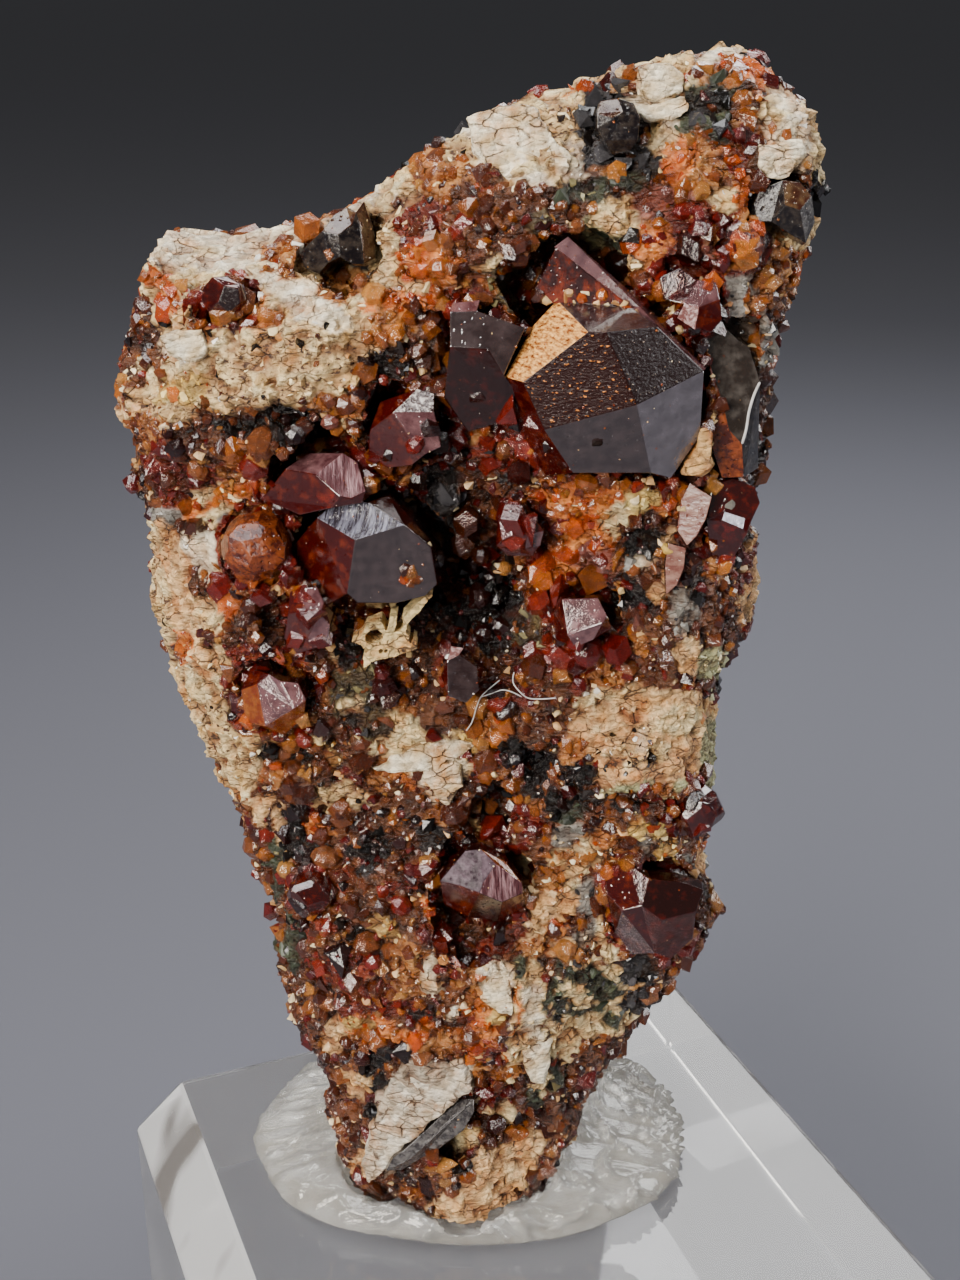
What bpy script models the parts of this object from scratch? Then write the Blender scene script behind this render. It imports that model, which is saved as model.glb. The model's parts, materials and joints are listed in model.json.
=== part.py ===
"""Garnet crystals grown on a feldspar and quartz matrix, stood in clear tack on a bevelled acrylic block.

The origin is the centre of the block's underside and +Z is up. The display face of the stone looks
along -Y, and the block is turned a little beneath it. Lengths are in millimetres until a mesh is
made, when they are scaled to metres.
"""

import math

import bmesh
import bpy
from mathutils import Matrix, Vector, noise

# ---------------------------------------------------------------- driving dimensions, millimetres
MM = 0.001
GAP = 0.3  # between pieces that touch

BLOCK_SIDE = 38.1
BLOCK_HEIGHT = 19.05
BLOCK_TURN = 21.9  # degrees about +Z
BEVEL_IN = 2.55  # how far the sloping rim reaches in over the top
BEVEL_DOWN = 4.6  # how far it reaches down the sides

# The stone's outline seen from the front: x, and height above the block's top.
OUTLINE = (
    (-18.4, 52.5), (-14.6, 51.7), (-9.0, 53.2), (-4.9, 56.3), (-0.4, 58.4), (6.3, 59.6),
    (8.5, 60.5), (10.1, 59.2), (11.9, 57.6), (12.0, 53.0), (11.2, 49.4), (10.4, 46.5),
    (10.1, 41.6), (10.8, 35.9), (10.6, 34.3), (9.6, 31.1), (9.1, 26.0), (9.2, 17.5),
    (7.6, 13.1), (4.9, 9.2), (2.6, 6.2), (0.0, -0.6), (-3.8, -6.4), (-8.3, -2.4),
    (-11.2, 4.4), (-12.9, 9.8), (-14.5, 20.6), (-16.6, 25.4), (-18.8, 31.1), (-19.6, 35.7),
    (-19.2, 39.1), (-19.7, 40.6), (-19.4, 45.6), (-18.7, 49.6),
)
OUTLINE_HUB = (-4.5, 35.0)  # the outline is seen whole from here
FOOT_CUT = 1.2  # the stone stands on a flat this far above the block
HALF_THICKNESS = 7.8
BOXINESS = 2.9  # 2 would make every section an ellipse
FOOT_MIDDLE_Y = 1.3
BODY_MIDDLE_Y = 3.4
LEAN_HEIGHT = 26.0  # the section's middle moves from the foot's to the body's up to here

# Swellings and hollows of the display face: x, height, half width, half height, depth.
FACE_RELIEF = {
    "feldspar_boss": (-14.5, 47.0, 6.5, 5.0, 1.6),
    "ledge_under_boss": (-13.5, 40.6, 6.5, 2.2, -1.3),
    "left_shoulder": (-15.0, 32.0, 3.6, 5.5, 0.7),
    "crystal_pocket": (-3.5, 36.0, 4.6, 7.0, -1.6),
    "top_ridge": (-2.0, 54.0, 7.5, 3.6, 1.0),
    "right_wall": (7.2, 38.5, 3.0, 8.5, 0.8),
    "banded_lump": (4.3, 26.2, 4.4, 3.0, 1.3),
    "waist": (-6.0, 22.5, 5.5, 2.6, -0.6),
    "lower_swelling": (-4.0, 15.5, 5.0, 4.6, 1.1),
    "right_flank": (6.2, 13.0, 3.6, 4.6, -1.2),
    "foot_facet": (-6.2, 5.4, 3.6, 2.8, 0.6),
    "toe": (-3.4, 1.5, 2.6, 3.4, 1.3),
}
FRACTURE_SIZE = 6.5  # across one broken facet
FRACTURE_DEPTH = 0.85
ROUGH_SIZE = 2.2
ROUGH_DEPTH = 0.35
REMESH_SIZE = 0.8
MATRIX_KEEP = 0.18  # share of the remeshed faces that stay

TACK_MIDDLE = (-3.6, 3.4)
TACK_HALF = (12.3, 9.0)
TACK_RISE = 2.6  # its crown above the block
TACK_WAVE = 0.45
TACK_WAVE_SIZE = 5.0

# A facet is the way that it faces, as degrees round from -Y towards +X and degrees up, and its
# distance from the crystal's middle.
GREAT_FACETS = (
    (-12, 3, 3.41), (1, -24, 3.06), (33, -15, 3.39), (24, 15, 3.57), (4, 84, 3.52),
    (-69, 46, 3.72), (-67, -28, 3.48), (87, 40, 3.74), (-27, -77, 3.42), (78, -3, 4.15),
    (-105, 5, 4.2), (180, 0, 3.6), (130, 10, 4.0), (180, 55, 4.0), (180, -55, 4.0),
)
LEFT_FACETS = (
    (5, -6, 2.64), (-19, 54, 2.82), (-40, 1, 2.59), (81, 8, 3.1), (94, 44, 2.54),
    (17, -68, 2.35), (-40, -37, 2.77), (-95, 18, 3.2), (-100, -30, 3.2), (180, 0, 2.6),
    (150, 50, 2.9), (-150, 45, 3.0), (170, -50, 2.9),
)
LOWER_FACETS = (
    (-12, 29, 1.80), (26, 10, 1.50), (-56, -8, 1.99), (2, -40, 1.75), (84, 58, 1.72),
    (-60, 42, 2.25), (61, 5, 1.92), (100, -25, 1.9), (-110, 10, 2.0), (180, 0, 1.9),
    (180, 55, 2.0), (180, -50, 2.0), (20, -85, 1.9),
)
PLATE_FACETS = (
    (42, 4, 0.55), (-138, -4, 0.9), (132, 8, 1.15), (-48, -6, 1.1), (0, 80, 3.3), (20, -78, 3.3),
    (60, 40, 2.2), (30, -44, 2.3),
)
SPLINTER_FACETS = (
    (-8, 28, 0.75), (24, -20, 0.8), (-60, -30, 1.05), (70, 35, 1.0), (180, 0, 1.2), (-40, 66, 1.6),
    (40, -70, 1.6), (-110, 25, 1.3), (110, -20, 1.3),
)

# Garnets of the usual form: middle as x, y and height above the block's top, then the distance of
# the twelve rhombic faces, the share at which the edges are cut, and the turn in degrees.
GARNETS = {
    "garnet_beside_great": ((-3.4, -3.1, 47.9), 1.5, 1.05, (12, 20, 30)),
    "garnet_upper_left": ((-6.3, -3.6, 44.7), 1.5, 1.02, (25, -10, 14)),
    "garnet_round_left": ((-13.2, -3.2, 39.0), 1.45, 1.0, (5, 30, 50)),
    "garnet_red_left": ((-11.5, -4.4, 35.4), 1.25, 1.06, (40, 15, -20)),
    "garnet_pink_left": ((-12.7, -4.0, 31.8), 1.5, 1.1, (10, -25, 12)),
    "garnet_right_centre": ((1.8, -3.0, 35.4), 1.15, 1.04, (-20, 12, 35)),
    "garnet_right_edge": ((8.6, -1.6, 39.4), 1.4, 1.04, (15, 40, 10)),
    "garnet_waist": ((-2.6, -3.5, 25.1), 0.95, 1.06, (30, 10, 60)),
    "garnet_lower_left": ((-11.4, -3.6, 21.1), 1.0, 1.05, (0, 25, 45)),
    "garnet_lower_right": ((5.7, -2.9, 20.1), 2.1, 1.02, (20, -30, 25)),
    "garnet_low_right_edge": ((7.5, -2.6, 25.2), 1.1, 1.05, (50, 10, 0)),
    "garnet_on_boss": ((-14.2, -2.0, 50.0), 0.95, 1.03, (15, 15, 15)),
    "garnet_orange_right": ((8.3, -2.6, 52.4), 0.7, 1.0, (5, 60, 20)),
    "garnet_red_upper": ((5.9, -3.0, 50.7), 1.1, 1.04, (35, 35, 5)),
    "smoky_quartz_top": ((3.0, -1.0, 57.2), 1.0, 1.15, (28, 8, 40)),
    "smoky_quartz_upper_left": ((-9.2, -1.1, 52.0), 1.5, 1.15, (60, 5, 25)),
    "smoky_quartz_right": ((10.0, -1.7, 54.0), 1.05, 1.15, (10, 50, 70)),
}
GREAT_MIDDLE = (2.4, -3.3, 46.3)
GREAT_TWIN_MIDDLE = (0.8, -2.8, 50.5)
GREAT_TWIN_SCALE = 0.6
LEFT_MIDDLE = (-8.0, -3.0, 38.8)
LEDGE_MIDDLE = (-10.1, -3.8, 42.4)
LEDGE_REACH = 1.9
LOWER_MIDDLE = (-2.9, -4.2, 21.6)
LOWER_TWIN_MIDDLE = (-3.5, -4.6, 19.2)
LOWER_TWIN_REACH = 1.35
CENTRE_RED_MIDDLE = (-1.3, -2.3, 39.2)
CENTRE_DARK_MIDDLE = (-2.7, -2.3, 40.0)
CENTRE_REACH = 1.0
PLATE_MIDDLE = (8.4, -2.4, 45.6)
SPLINTER_MIDDLE = (-4.5, -4.7, 7.5)


# ---------------------------------------------------------------- scene, collections and materials
def clear_scene():
    for old in list(bpy.data.objects):
        bpy.data.objects.remove(old, do_unlink=True)


def new_collection(name):
    made = bpy.data.collections.new(name)
    bpy.context.scene.collection.children.link(made)
    return made


def material(name, colour, roughness, metallic=0.0, transmission=0.0):
    made = bpy.data.materials.new(name)
    made.use_nodes = True
    shader = made.node_tree.nodes["Principled BSDF"]
    shader.inputs["Base Color"].default_value = (*colour, 1.0)
    shader.inputs["Roughness"].default_value = roughness
    shader.inputs["Metallic"].default_value = metallic
    shader.inputs["Transmission Weight"].default_value = transmission
    made.diffuse_color = (*colour, 1.0)
    return made


def add_object(name, mesh_data, collection, finish=None):
    """Turns millimetre mesh data into an object in metres."""
    bmesh.ops.scale(mesh_data, vec=(MM, MM, MM), verts=mesh_data.verts)
    bmesh.ops.recalc_face_normals(mesh_data, faces=mesh_data.faces)
    mesh = bpy.data.meshes.new(name)
    mesh_data.to_mesh(mesh)
    mesh_data.free()
    made = bpy.data.objects.new(name, mesh)
    collection.objects.link(made)
    if finish:
        mesh.materials.append(finish)
    return made


def apply_modifiers(target):
    graph = bpy.context.evaluated_depsgraph_get()
    target.data = bpy.data.meshes.new_from_object(target.evaluated_get(graph))
    target.modifiers.clear()


def as_cutter(target):
    target.hide_render = True
    target.display_type = "WIRE"
    return target


def cut(target, cutter):
    step = target.modifiers.new("cut " + cutter.name, "BOOLEAN")
    step.operation = "DIFFERENCE"
    step.solver = "EXACT"
    step.object = cutter


# ---------------------------------------------------------------- acrylic block
def make_block(collection, finish):
    shape = bmesh.new()
    bmesh.ops.create_cube(shape, size=1.0)
    bmesh.ops.scale(shape, vec=(BLOCK_SIDE, BLOCK_SIDE, BLOCK_HEIGHT), verts=shape.verts)
    bmesh.ops.translate(shape, vec=(0, 0, BLOCK_HEIGHT / 2), verts=shape.verts)
    top = max(shape.faces, key=lambda face: face.calc_center_median().z)
    bmesh.ops.inset_region(shape, faces=[top], thickness=BEVEL_IN, use_even_offset=True)
    rim = [v for v in shape.verts if v.co.z > BLOCK_HEIGHT / 2 and v not in top.verts]
    bmesh.ops.translate(shape, vec=(0, 0, -BEVEL_DOWN), verts=rim)
    turn = Matrix.Rotation(math.radians(BLOCK_TURN), 3, "Z")
    bmesh.ops.rotate(shape, cent=(0, 0, 0), matrix=turn, verts=shape.verts)
    return add_object("display_block", shape, collection, finish)


# ---------------------------------------------------------------- stone
def outline_reach(angle):
    """Distance from the hub to the outline along this angle."""
    hub = Vector(OUTLINE_HUB)
    way = Vector((math.cos(angle), math.sin(angle)))
    reach = 0.0
    for start, end in zip(OUTLINE, OUTLINE[1:] + OUTLINE[:1]):
        a = Vector(start) - hub
        side = Vector(end) - Vector(start)
        across = way.x * side.y - way.y * side.x
        if abs(across) < 1e-9:
            continue
        along = (a.x * side.y - a.y * side.x) / across
        share = (a.x * way.y - a.y * way.x) / across
        if along > 0 and -1e-9 <= share <= 1 + 1e-9:
            reach = max(reach, along)
    return reach


def middle_y(height):
    share = min(max(height / LEAN_HEIGHT, 0.0), 1.0)
    return FOOT_MIDDLE_Y + (BODY_MIDDLE_Y - FOOT_MIDDLE_Y) * share


def face_relief(x, height):
    total = 0.0
    for across, up, half_width, half_height, depth in FACE_RELIEF.values():
        square = ((x - across) / half_width) ** 2 + ((height - up) / half_height) ** 2
        total += depth / (1.0 + square**3)
    return total


def fracture(point, size, depth):
    """Height of the broken facet at this point: every cell is a plane with a tilt of its own."""
    _, centres = noise.voronoi(point / size)
    centre = centres[0]
    tilt = 2.0 * noise.cell_vector(centre * 37.0) - Vector((1.0, 1.0, 1.0))
    level = noise.cell(centre * 53.0) - 0.5
    return depth * ((point / size - centre).dot(tilt) + 0.6 * level)


def stone_point(way):
    """Where this direction of the unit sphere lands on the stone, before it is broken."""
    flat = math.hypot(way.x, way.z)
    angle = math.atan2(way.z, way.x)
    out = flat ** (2.0 / BOXINESS)
    deep = abs(way.y) ** (2.0 / BOXINESS)
    reach = outline_reach(angle) * out
    x = OUTLINE_HUB[0] + reach * math.cos(angle)
    height = OUTLINE_HUB[1] + reach * math.sin(angle)
    depth = HALF_THICKNESS * deep
    if way.y < 0:
        depth += face_relief(x, height) * deep
    side = 1.0 if way.y > 0 else -1.0
    return Vector((x, middle_y(height) + side * depth, height))


def make_stone_form(collection, finish):
    """The whole stone with no sockets, standing on the block."""
    shape = bmesh.new()
    bmesh.ops.create_icosphere(shape, subdivisions=6, radius=1.0)
    for vert in shape.verts:
        vert.co = stone_point(vert.co.normalized())
    bmesh.ops.recalc_face_normals(shape, faces=shape.faces)
    shape.normal_update()
    moved = []
    for vert in shape.verts:
        push = fracture(vert.co, FRACTURE_SIZE, FRACTURE_DEPTH)
        push += ROUGH_DEPTH * noise.noise(vert.co / ROUGH_SIZE)
        moved.append(vert.co + vert.normal * push)
    for vert, place in zip(shape.verts, moved):
        vert.co = place + Vector((0, 0, BLOCK_HEIGHT))
    stone = add_object("matrix", shape, collection, finish)
    remesh = stone.modifiers.new("even faces", "REMESH")
    remesh.mode = "VOXEL"
    remesh.voxel_size = REMESH_SIZE * MM
    thin = stone.modifiers.new("fewer faces", "DECIMATE")
    thin.ratio = MATRIX_KEEP
    apply_modifiers(stone)
    cut_foot(stone)
    return stone


def cut_foot(stone):
    shape = bmesh.new()
    shape.from_mesh(stone.data)
    everything = list(shape.verts) + list(shape.edges) + list(shape.faces)
    level = (0, 0, (BLOCK_HEIGHT + FOOT_CUT) * MM)
    cut_result = bmesh.ops.bisect_plane(
        shape, geom=everything, plane_co=level, plane_no=(0, 0, -1), clear_outer=True
    )
    rim = [e for e in cut_result["geom_cut"] if isinstance(e, bmesh.types.BMEdge)]
    bmesh.ops.holes_fill(shape, edges=rim, sides=0)
    bmesh.ops.recalc_face_normals(shape, faces=shape.faces)
    shape.to_mesh(stone.data)
    shape.free()


# ---------------------------------------------------------------- crystals
def facing(round_degrees, up_degrees):
    across = math.radians(round_degrees)
    up = math.radians(up_degrees)
    return Vector((math.sin(across) * math.cos(up), -math.cos(across) * math.cos(up), math.sin(up)))


def drawn_facets(facets, scale=1.0):
    return [(facing(across, up), distance * scale) for across, up, distance in facets]


def garnet_facets(reach, edge_cut, turn):
    """The rhombic dodecahedron, with each of its edges cut by a face of the trapezohedron."""
    rotation = Matrix.Identity(3)
    for degrees, axis in zip(turn, "XYZ"):
        rotation = Matrix.Rotation(math.radians(degrees), 3, axis) @ rotation
    facets = []
    for x in (-2, -1, 0, 1, 2):
        for y in (-2, -1, 0, 1, 2):
            for z in (-2, -1, 0, 1, 2):
                steps = sorted((abs(x), abs(y), abs(z)))
                way = rotation @ Vector((x, y, z))
                if steps == [0, 1, 1]:
                    facets.append((way.normalized(), reach))
                elif steps == [1, 1, 2]:
                    facets.append((way.normalized(), reach * edge_cut))
    return facets


def crystal_mesh(middle, facets, gap=0.0):
    """A cube cut back to the facets, each moved out by the gap."""
    shape = bmesh.new()
    bmesh.ops.create_cube(shape, size=40.0)
    for way, distance in facets:
        everything = list(shape.verts) + list(shape.edges) + list(shape.faces)
        result = bmesh.ops.bisect_plane(
            shape, geom=everything, plane_co=way * (distance + gap), plane_no=way, clear_outer=True
        )
        rim = [e for e in result["geom_cut"] if isinstance(e, bmesh.types.BMEdge)]
        if rim:
            bmesh.ops.holes_fill(shape, edges=rim, sides=0)
    bmesh.ops.remove_doubles(shape, verts=shape.verts, dist=0.02)
    place = Vector(middle) + Vector((0, 0, BLOCK_HEIGHT))
    bmesh.ops.translate(shape, vec=place, verts=shape.verts)
    return shape


def grown_together(name, crystals, collection, finish, gap=0.0):
    """One solid from crystals that overlap."""
    first, *others = crystals
    whole = add_object(name, crystal_mesh(*first, gap), collection, finish)
    for index, other in enumerate(others):
        extra = add_object(f"{name}_joined_{index}", crystal_mesh(*other, gap), collection)
        join = whole.modifiers.new("join", "BOOLEAN")
        join.operation = "UNION"
        join.object = extra
        apply_modifiers(whole)
        bpy.data.objects.remove(extra, do_unlink=True)
    return whole


def crystal_groups():
    """Each crystal node's name with the crystals that it joins."""
    great = (GREAT_MIDDLE, drawn_facets(GREAT_FACETS))
    great_twin = (GREAT_TWIN_MIDDLE, drawn_facets(GREAT_FACETS, GREAT_TWIN_SCALE))
    left = (LEFT_MIDDLE, drawn_facets(LEFT_FACETS))
    ledge = (LEDGE_MIDDLE, garnet_facets(LEDGE_REACH, 1.05, (30, 10, 20)))
    lower = (LOWER_MIDDLE, drawn_facets(LOWER_FACETS))
    lower_twin = (LOWER_TWIN_MIDDLE, garnet_facets(LOWER_TWIN_REACH, 1.04, (10, 35, 15)))
    red = (CENTRE_RED_MIDDLE, garnet_facets(CENTRE_REACH, 1.04, (20, 20, 0)))
    dark = (CENTRE_DARK_MIDDLE, garnet_facets(CENTRE_REACH, 1.08, (45, 0, 10)))
    groups = {
        "garnet_great": [great, great_twin],
        "garnet_left": [left, ledge],
        "garnet_lower": [lower, lower_twin],
        "garnet_centre": [red, dark],
        "smoky_quartz_plate": [(PLATE_MIDDLE, drawn_facets(PLATE_FACETS))],
        "smoky_quartz_splinter": [(SPLINTER_MIDDLE, drawn_facets(SPLINTER_FACETS))],
    }
    for name, (middle, reach, edge_cut, turn) in GARNETS.items():
        groups[name] = [(middle, garnet_facets(reach, edge_cut, turn))]
    return groups


def make_crystals(stone, collection, cutters, garnet, quartz):
    for name, crystals in crystal_groups().items():
        finish = quartz if name.startswith("smoky") else garnet
        grown_together(name, crystals, collection, finish)
        socket = grown_together(name + "_socket", crystals, cutters, None, GAP)
        cut(stone, as_cutter(socket))
    apply_modifiers(stone)


# ---------------------------------------------------------------- mineral tack
def make_tack(stone, collection, cutters, finish):
    """A pressed puddle under the foot, hollowed where the stone sits in it."""
    shape = bmesh.new()
    bmesh.ops.create_icosphere(shape, subdivisions=5, radius=1.0)
    floor = BLOCK_HEIGHT + GAP
    for vert in shape.verts:
        way = vert.co.normalized()
        flat = math.hypot(way.x, way.y)
        out = flat ** 0.6
        x = TACK_HALF[0] * out * way.x / max(flat, 1e-6)
        y = TACK_HALF[1] * out * way.y / max(flat, 1e-6)
        wave = TACK_WAVE * noise.noise(Vector((x, y, 0)) / TACK_WAVE_SIZE)
        z = (TACK_RISE + wave) * abs(way.z) ** 0.6 if way.z > 0 else 0.0
        edge = 1.0 + 0.05 * noise.noise(Vector((way.x, way.y, 2.0)) * 2.5)
        vert.co = (TACK_MIDDLE[0] + x * edge, TACK_MIDDLE[1] + y * edge, floor + z)
    bmesh.ops.remove_doubles(shape, verts=shape.verts, dist=0.02)
    tack = add_object("mineral_tack", shape, collection, finish)
    even = tack.modifiers.new("even faces", "REMESH")
    even.mode = "VOXEL"
    even.voxel_size = 0.35 * MM
    thin = tack.modifiers.new("fewer faces", "DECIMATE")
    thin.ratio = 0.07
    apply_modifiers(tack)
    foot = bpy.data.objects.new("foot_clearance", stone.data.copy())
    cutters.objects.link(foot)
    swell = foot.modifiers.new("clearance", "DISPLACE")
    swell.strength = 1.3 * GAP * MM
    swell.mid_level = 0.0
    apply_modifiers(foot)
    cut(tack, as_cutter(foot))
    apply_modifiers(tack)
    return tack


def main():
    clear_scene()
    parts = new_collection("garnet_in_matrix")
    cutters = new_collection("cutters")
    acrylic = material("clear acrylic", (0.9, 0.92, 0.93), 0.03, transmission=1.0)
    rock = material("feldspar and quartz rock", (0.55, 0.38, 0.25), 0.7)
    garnet = material("red brown garnet", (0.22, 0.02, 0.01), 0.1, transmission=0.6)
    quartz = material("smoky quartz", (0.12, 0.11, 0.11), 0.12, transmission=0.6)
    gum = material("clear mineral tack", (0.86, 0.87, 0.87), 0.2, transmission=0.7)
    make_block(parts, acrylic)
    stone = make_stone_form(parts, rock)
    make_tack(stone, parts, cutters, gum)
    make_crystals(stone, parts, cutters, garnet, quartz)


main()
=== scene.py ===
"""Looks for a garnet specimen: crystals and druse on broken feldspar, in clear tack on an acrylic block.

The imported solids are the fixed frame. Sizes in this file are millimetres and heights are measured
from the top of the block, unless a name says otherwise; meshes are scaled to metres when made.
"""

import itertools
import json
import math
import random

import bmesh
import bpy
import numpy as np
from bpy.props import FloatProperty, FloatVectorProperty, IntProperty, PointerProperty, StringProperty
from mathutils import Matrix, Vector, noise
from mathutils.bvhtree import BVHTree
from mathutils.kdtree import KDTree

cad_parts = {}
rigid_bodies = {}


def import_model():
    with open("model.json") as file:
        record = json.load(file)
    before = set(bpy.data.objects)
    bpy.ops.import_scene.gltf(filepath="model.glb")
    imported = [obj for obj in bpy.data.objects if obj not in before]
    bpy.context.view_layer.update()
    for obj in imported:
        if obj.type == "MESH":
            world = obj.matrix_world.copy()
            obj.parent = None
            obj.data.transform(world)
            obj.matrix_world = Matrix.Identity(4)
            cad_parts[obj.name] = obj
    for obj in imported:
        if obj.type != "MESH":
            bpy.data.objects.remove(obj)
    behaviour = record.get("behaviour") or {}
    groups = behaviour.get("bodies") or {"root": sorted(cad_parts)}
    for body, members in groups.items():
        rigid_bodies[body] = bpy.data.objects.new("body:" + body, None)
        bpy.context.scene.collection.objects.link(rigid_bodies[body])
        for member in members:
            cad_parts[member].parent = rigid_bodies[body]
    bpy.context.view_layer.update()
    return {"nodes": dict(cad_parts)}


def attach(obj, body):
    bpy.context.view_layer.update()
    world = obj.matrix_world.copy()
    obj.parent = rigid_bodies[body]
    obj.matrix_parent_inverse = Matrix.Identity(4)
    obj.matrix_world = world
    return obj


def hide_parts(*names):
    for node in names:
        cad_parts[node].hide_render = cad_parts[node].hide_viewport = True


bl_info = {
    "name": "Garnet in matrix",
    "version": (1, 0, 0),
    "blender": (4, 5, 0),
    "location": "View3D > Sidebar > Specimen",
    "description": "Builds the looks of a garnet specimen around its packed solids",
    "category": "Object",
}

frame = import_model()
MM = 0.001
BLOCK_TOP = 19.05
LIFT = (0.0, 0.0, BLOCK_TOP)  # from this file's heights to the frame's
NOISE_SEED = 11
BEHIND = 2.5  # what lies further back than this, along Y, is out of sight from the front
FLAT = math.radians(1.0)  # faces that lean less than this are one face

# The display face is mapped as this eye sees it, on a plane that stands at DISPLAY_Y.
EYE = (-3.05, -74.6, 63.97)
DISPLAY_Y = -3.5
LOOKING_DOWN = math.radians(22.5)
# The eye's frame is 960 across and 1280 down from its upper left corner.
FRAME_MIDDLE = (480.0, 640.0)
FRAME_REACH = 1660.0  # from the eye to the frame, in the frame's own steps


# ---------------------------------------------------------------- colours, nodes and meshes
def linear(code):
    """An sRGB hex value as the linear colour that shaders take."""
    parts = [int(code[i : i + 2], 16) / 255 for i in (1, 3, 5)]
    return (*(p / 12.92 if p <= 0.04045 else ((p + 0.055) / 1.055) ** 2.4 for p in parts), 1.0)


def add_node(tree, kind, inputs=None, out=0, **settings):
    """Adds a node and gives the output asked for; an input takes a value or the socket that feeds it."""
    node = tree.nodes.new("ShaderNode" + kind)
    for name, value in settings.items():
        setattr(node, name, value)
    for name, value in (inputs or {}).items():
        if isinstance(value, bpy.types.NodeSocket):
            tree.links.new(value, node.inputs[name])
        else:
            node.inputs[name].default_value = value
    return node if out is None else node.outputs[out]


def new_finish(name):
    """An empty material: its tree, its own coordinates, and a function that ends it."""
    made = bpy.data.materials.new(name)
    made.use_nodes = True
    tree = made.node_tree
    tree.nodes.clear()

    def close(inputs, volume=None):
        shader = add_node(tree, "BsdfPrincipled", inputs)
        end = add_node(tree, "OutputMaterial", {"Surface": shader}, out=None)
        if volume:
            tree.links.new(volume, end.inputs["Volume"])
        return made

    return tree, add_node(tree, "TexCoord", out="Object"), close


def new_piece(name, mesh, slot, *finishes, replaces=()):
    """Links a mesh as a piece that rides with the specimen."""
    piece = bpy.data.objects.new(name, mesh)
    bpy.context.scene.collection.objects.link(piece)
    for finish in finishes:
        mesh.materials.append(finish)
    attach(piece, "root")
    if replaces:
        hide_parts(*replaces)
    return piece


def paint(mesh, name, kind, values):
    """Gives every point of a mesh a value or a colour, for the finishes to read."""
    data = np.asarray(values, np.int32 if kind == "INT" else np.float32).ravel()
    field = "color" if kind == "FLOAT_COLOR" else "value"
    mesh.attributes.new(name, kind, "POINT").data.foreach_set(field, data)


def new_mesh(name, points, faces, tones=None):
    """A mesh in metres from points in mm, with a tone for each point if it has any."""
    mesh = bpy.data.meshes.new(name)
    mesh.from_pydata(((np.asarray(points, float) + LIFT) * MM).tolist(), [], faces)
    if tones is not None:
        paint(mesh, "tone", "FLOAT_COLOR", tones)
    mesh.update()
    return mesh


def triples(data, field):
    """A field of three numbers for every element, as an array."""
    flat = np.empty(len(data) * 3, np.float32)
    data.foreach_get(field, flat)
    return flat.reshape(-1, 3).astype(float)


def points_of(mesh):
    """The mesh's points in mm, with heights from the block's top."""
    return triples(mesh.vertices, "co") / MM - LIFT


def normals_of(mesh):
    return triples(mesh.vertex_normals, "vector")


def put_points(mesh, points):
    mesh.vertices.foreach_set("co", ((points + LIFT) * MM).astype(np.float32).ravel())
    mesh.update()


def mesh_of(shape, name):
    """The bmesh as a mesh. The bmesh is freed."""
    mesh = bpy.data.meshes.new(name)
    shape.to_mesh(mesh)
    shape.free()
    return mesh


def evaluated(source, kind, group=(), **settings):
    """The mesh after one modifier, held to a group of its points if there is one."""
    helper = bpy.data.objects.new("helper", source)
    bpy.context.scene.collection.objects.link(helper)
    modifier = helper.modifiers.new(kind, kind)
    for name, value in settings.items():
        setattr(modifier, name, value)
    if group:
        helper.vertex_groups.new(name="held").add(group, 1.0, "REPLACE")
        modifier.vertex_group = "held"
    graph = bpy.context.evaluated_depsgraph_get()
    mesh = bpy.data.meshes.new_from_object(helper.evaluated_get(graph))
    bpy.data.objects.remove(helper)
    return mesh


def in_order(mesh):
    """A copy with its points and faces in one fixed order, so that every run gives the same result."""
    points = points_of(mesh)
    order = np.lexsort(np.round(points, 4).T)
    rank = np.argsort(order)
    rows = []
    for face in mesh.polygons:
        ring = [int(rank[i]) for i in face.vertices]
        first = ring.index(min(ring))
        rows.append((ring[first:] + ring[:first], face.material_index))
    rows.sort()
    fresh = new_mesh(mesh.name, points[order], [ring for ring, _ in rows])
    fresh.polygons.foreach_set("material_index", [index for _, index in rows])
    return fresh


def surface(*meshes):
    """The joined surface of meshes, in which to find the nearest place or where a line meets it."""
    points, faces = [], []
    for mesh in meshes:
        start = len(points)
        points += [Vector(p) for p in points_of(mesh)]
        faces += [[start + i for i in face.vertices] for face in mesh.polygons]
    return BVHTree.FromPolygons(points, faces)


def grown(*starts, ends="_grown"):
    """The meshes of the pieces whose names start and end so."""
    found = [piece for piece in bpy.data.objects if piece.name.startswith(starts)]
    return [piece.data for piece in found if piece.name.endswith(ends)]


def merged_copy(name):
    """The CAD node's mesh as a bmesh of its own, with its split points joined."""
    shape = bmesh.new()
    shape.from_mesh(frame["nodes"][name].data)
    bmesh.ops.remove_doubles(shape, verts=shape.verts, dist=1e-6)
    return shape


def wear(shape, width, **settings):
    """Rounds every edge of a crystal a little, as handling does."""
    bmesh.ops.bevel(
        shape, geom=list(shape.edges), offset=width * MM, segments=2, affect="EDGES", profile=0.6,
        material=-1, **settings,
    )


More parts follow.
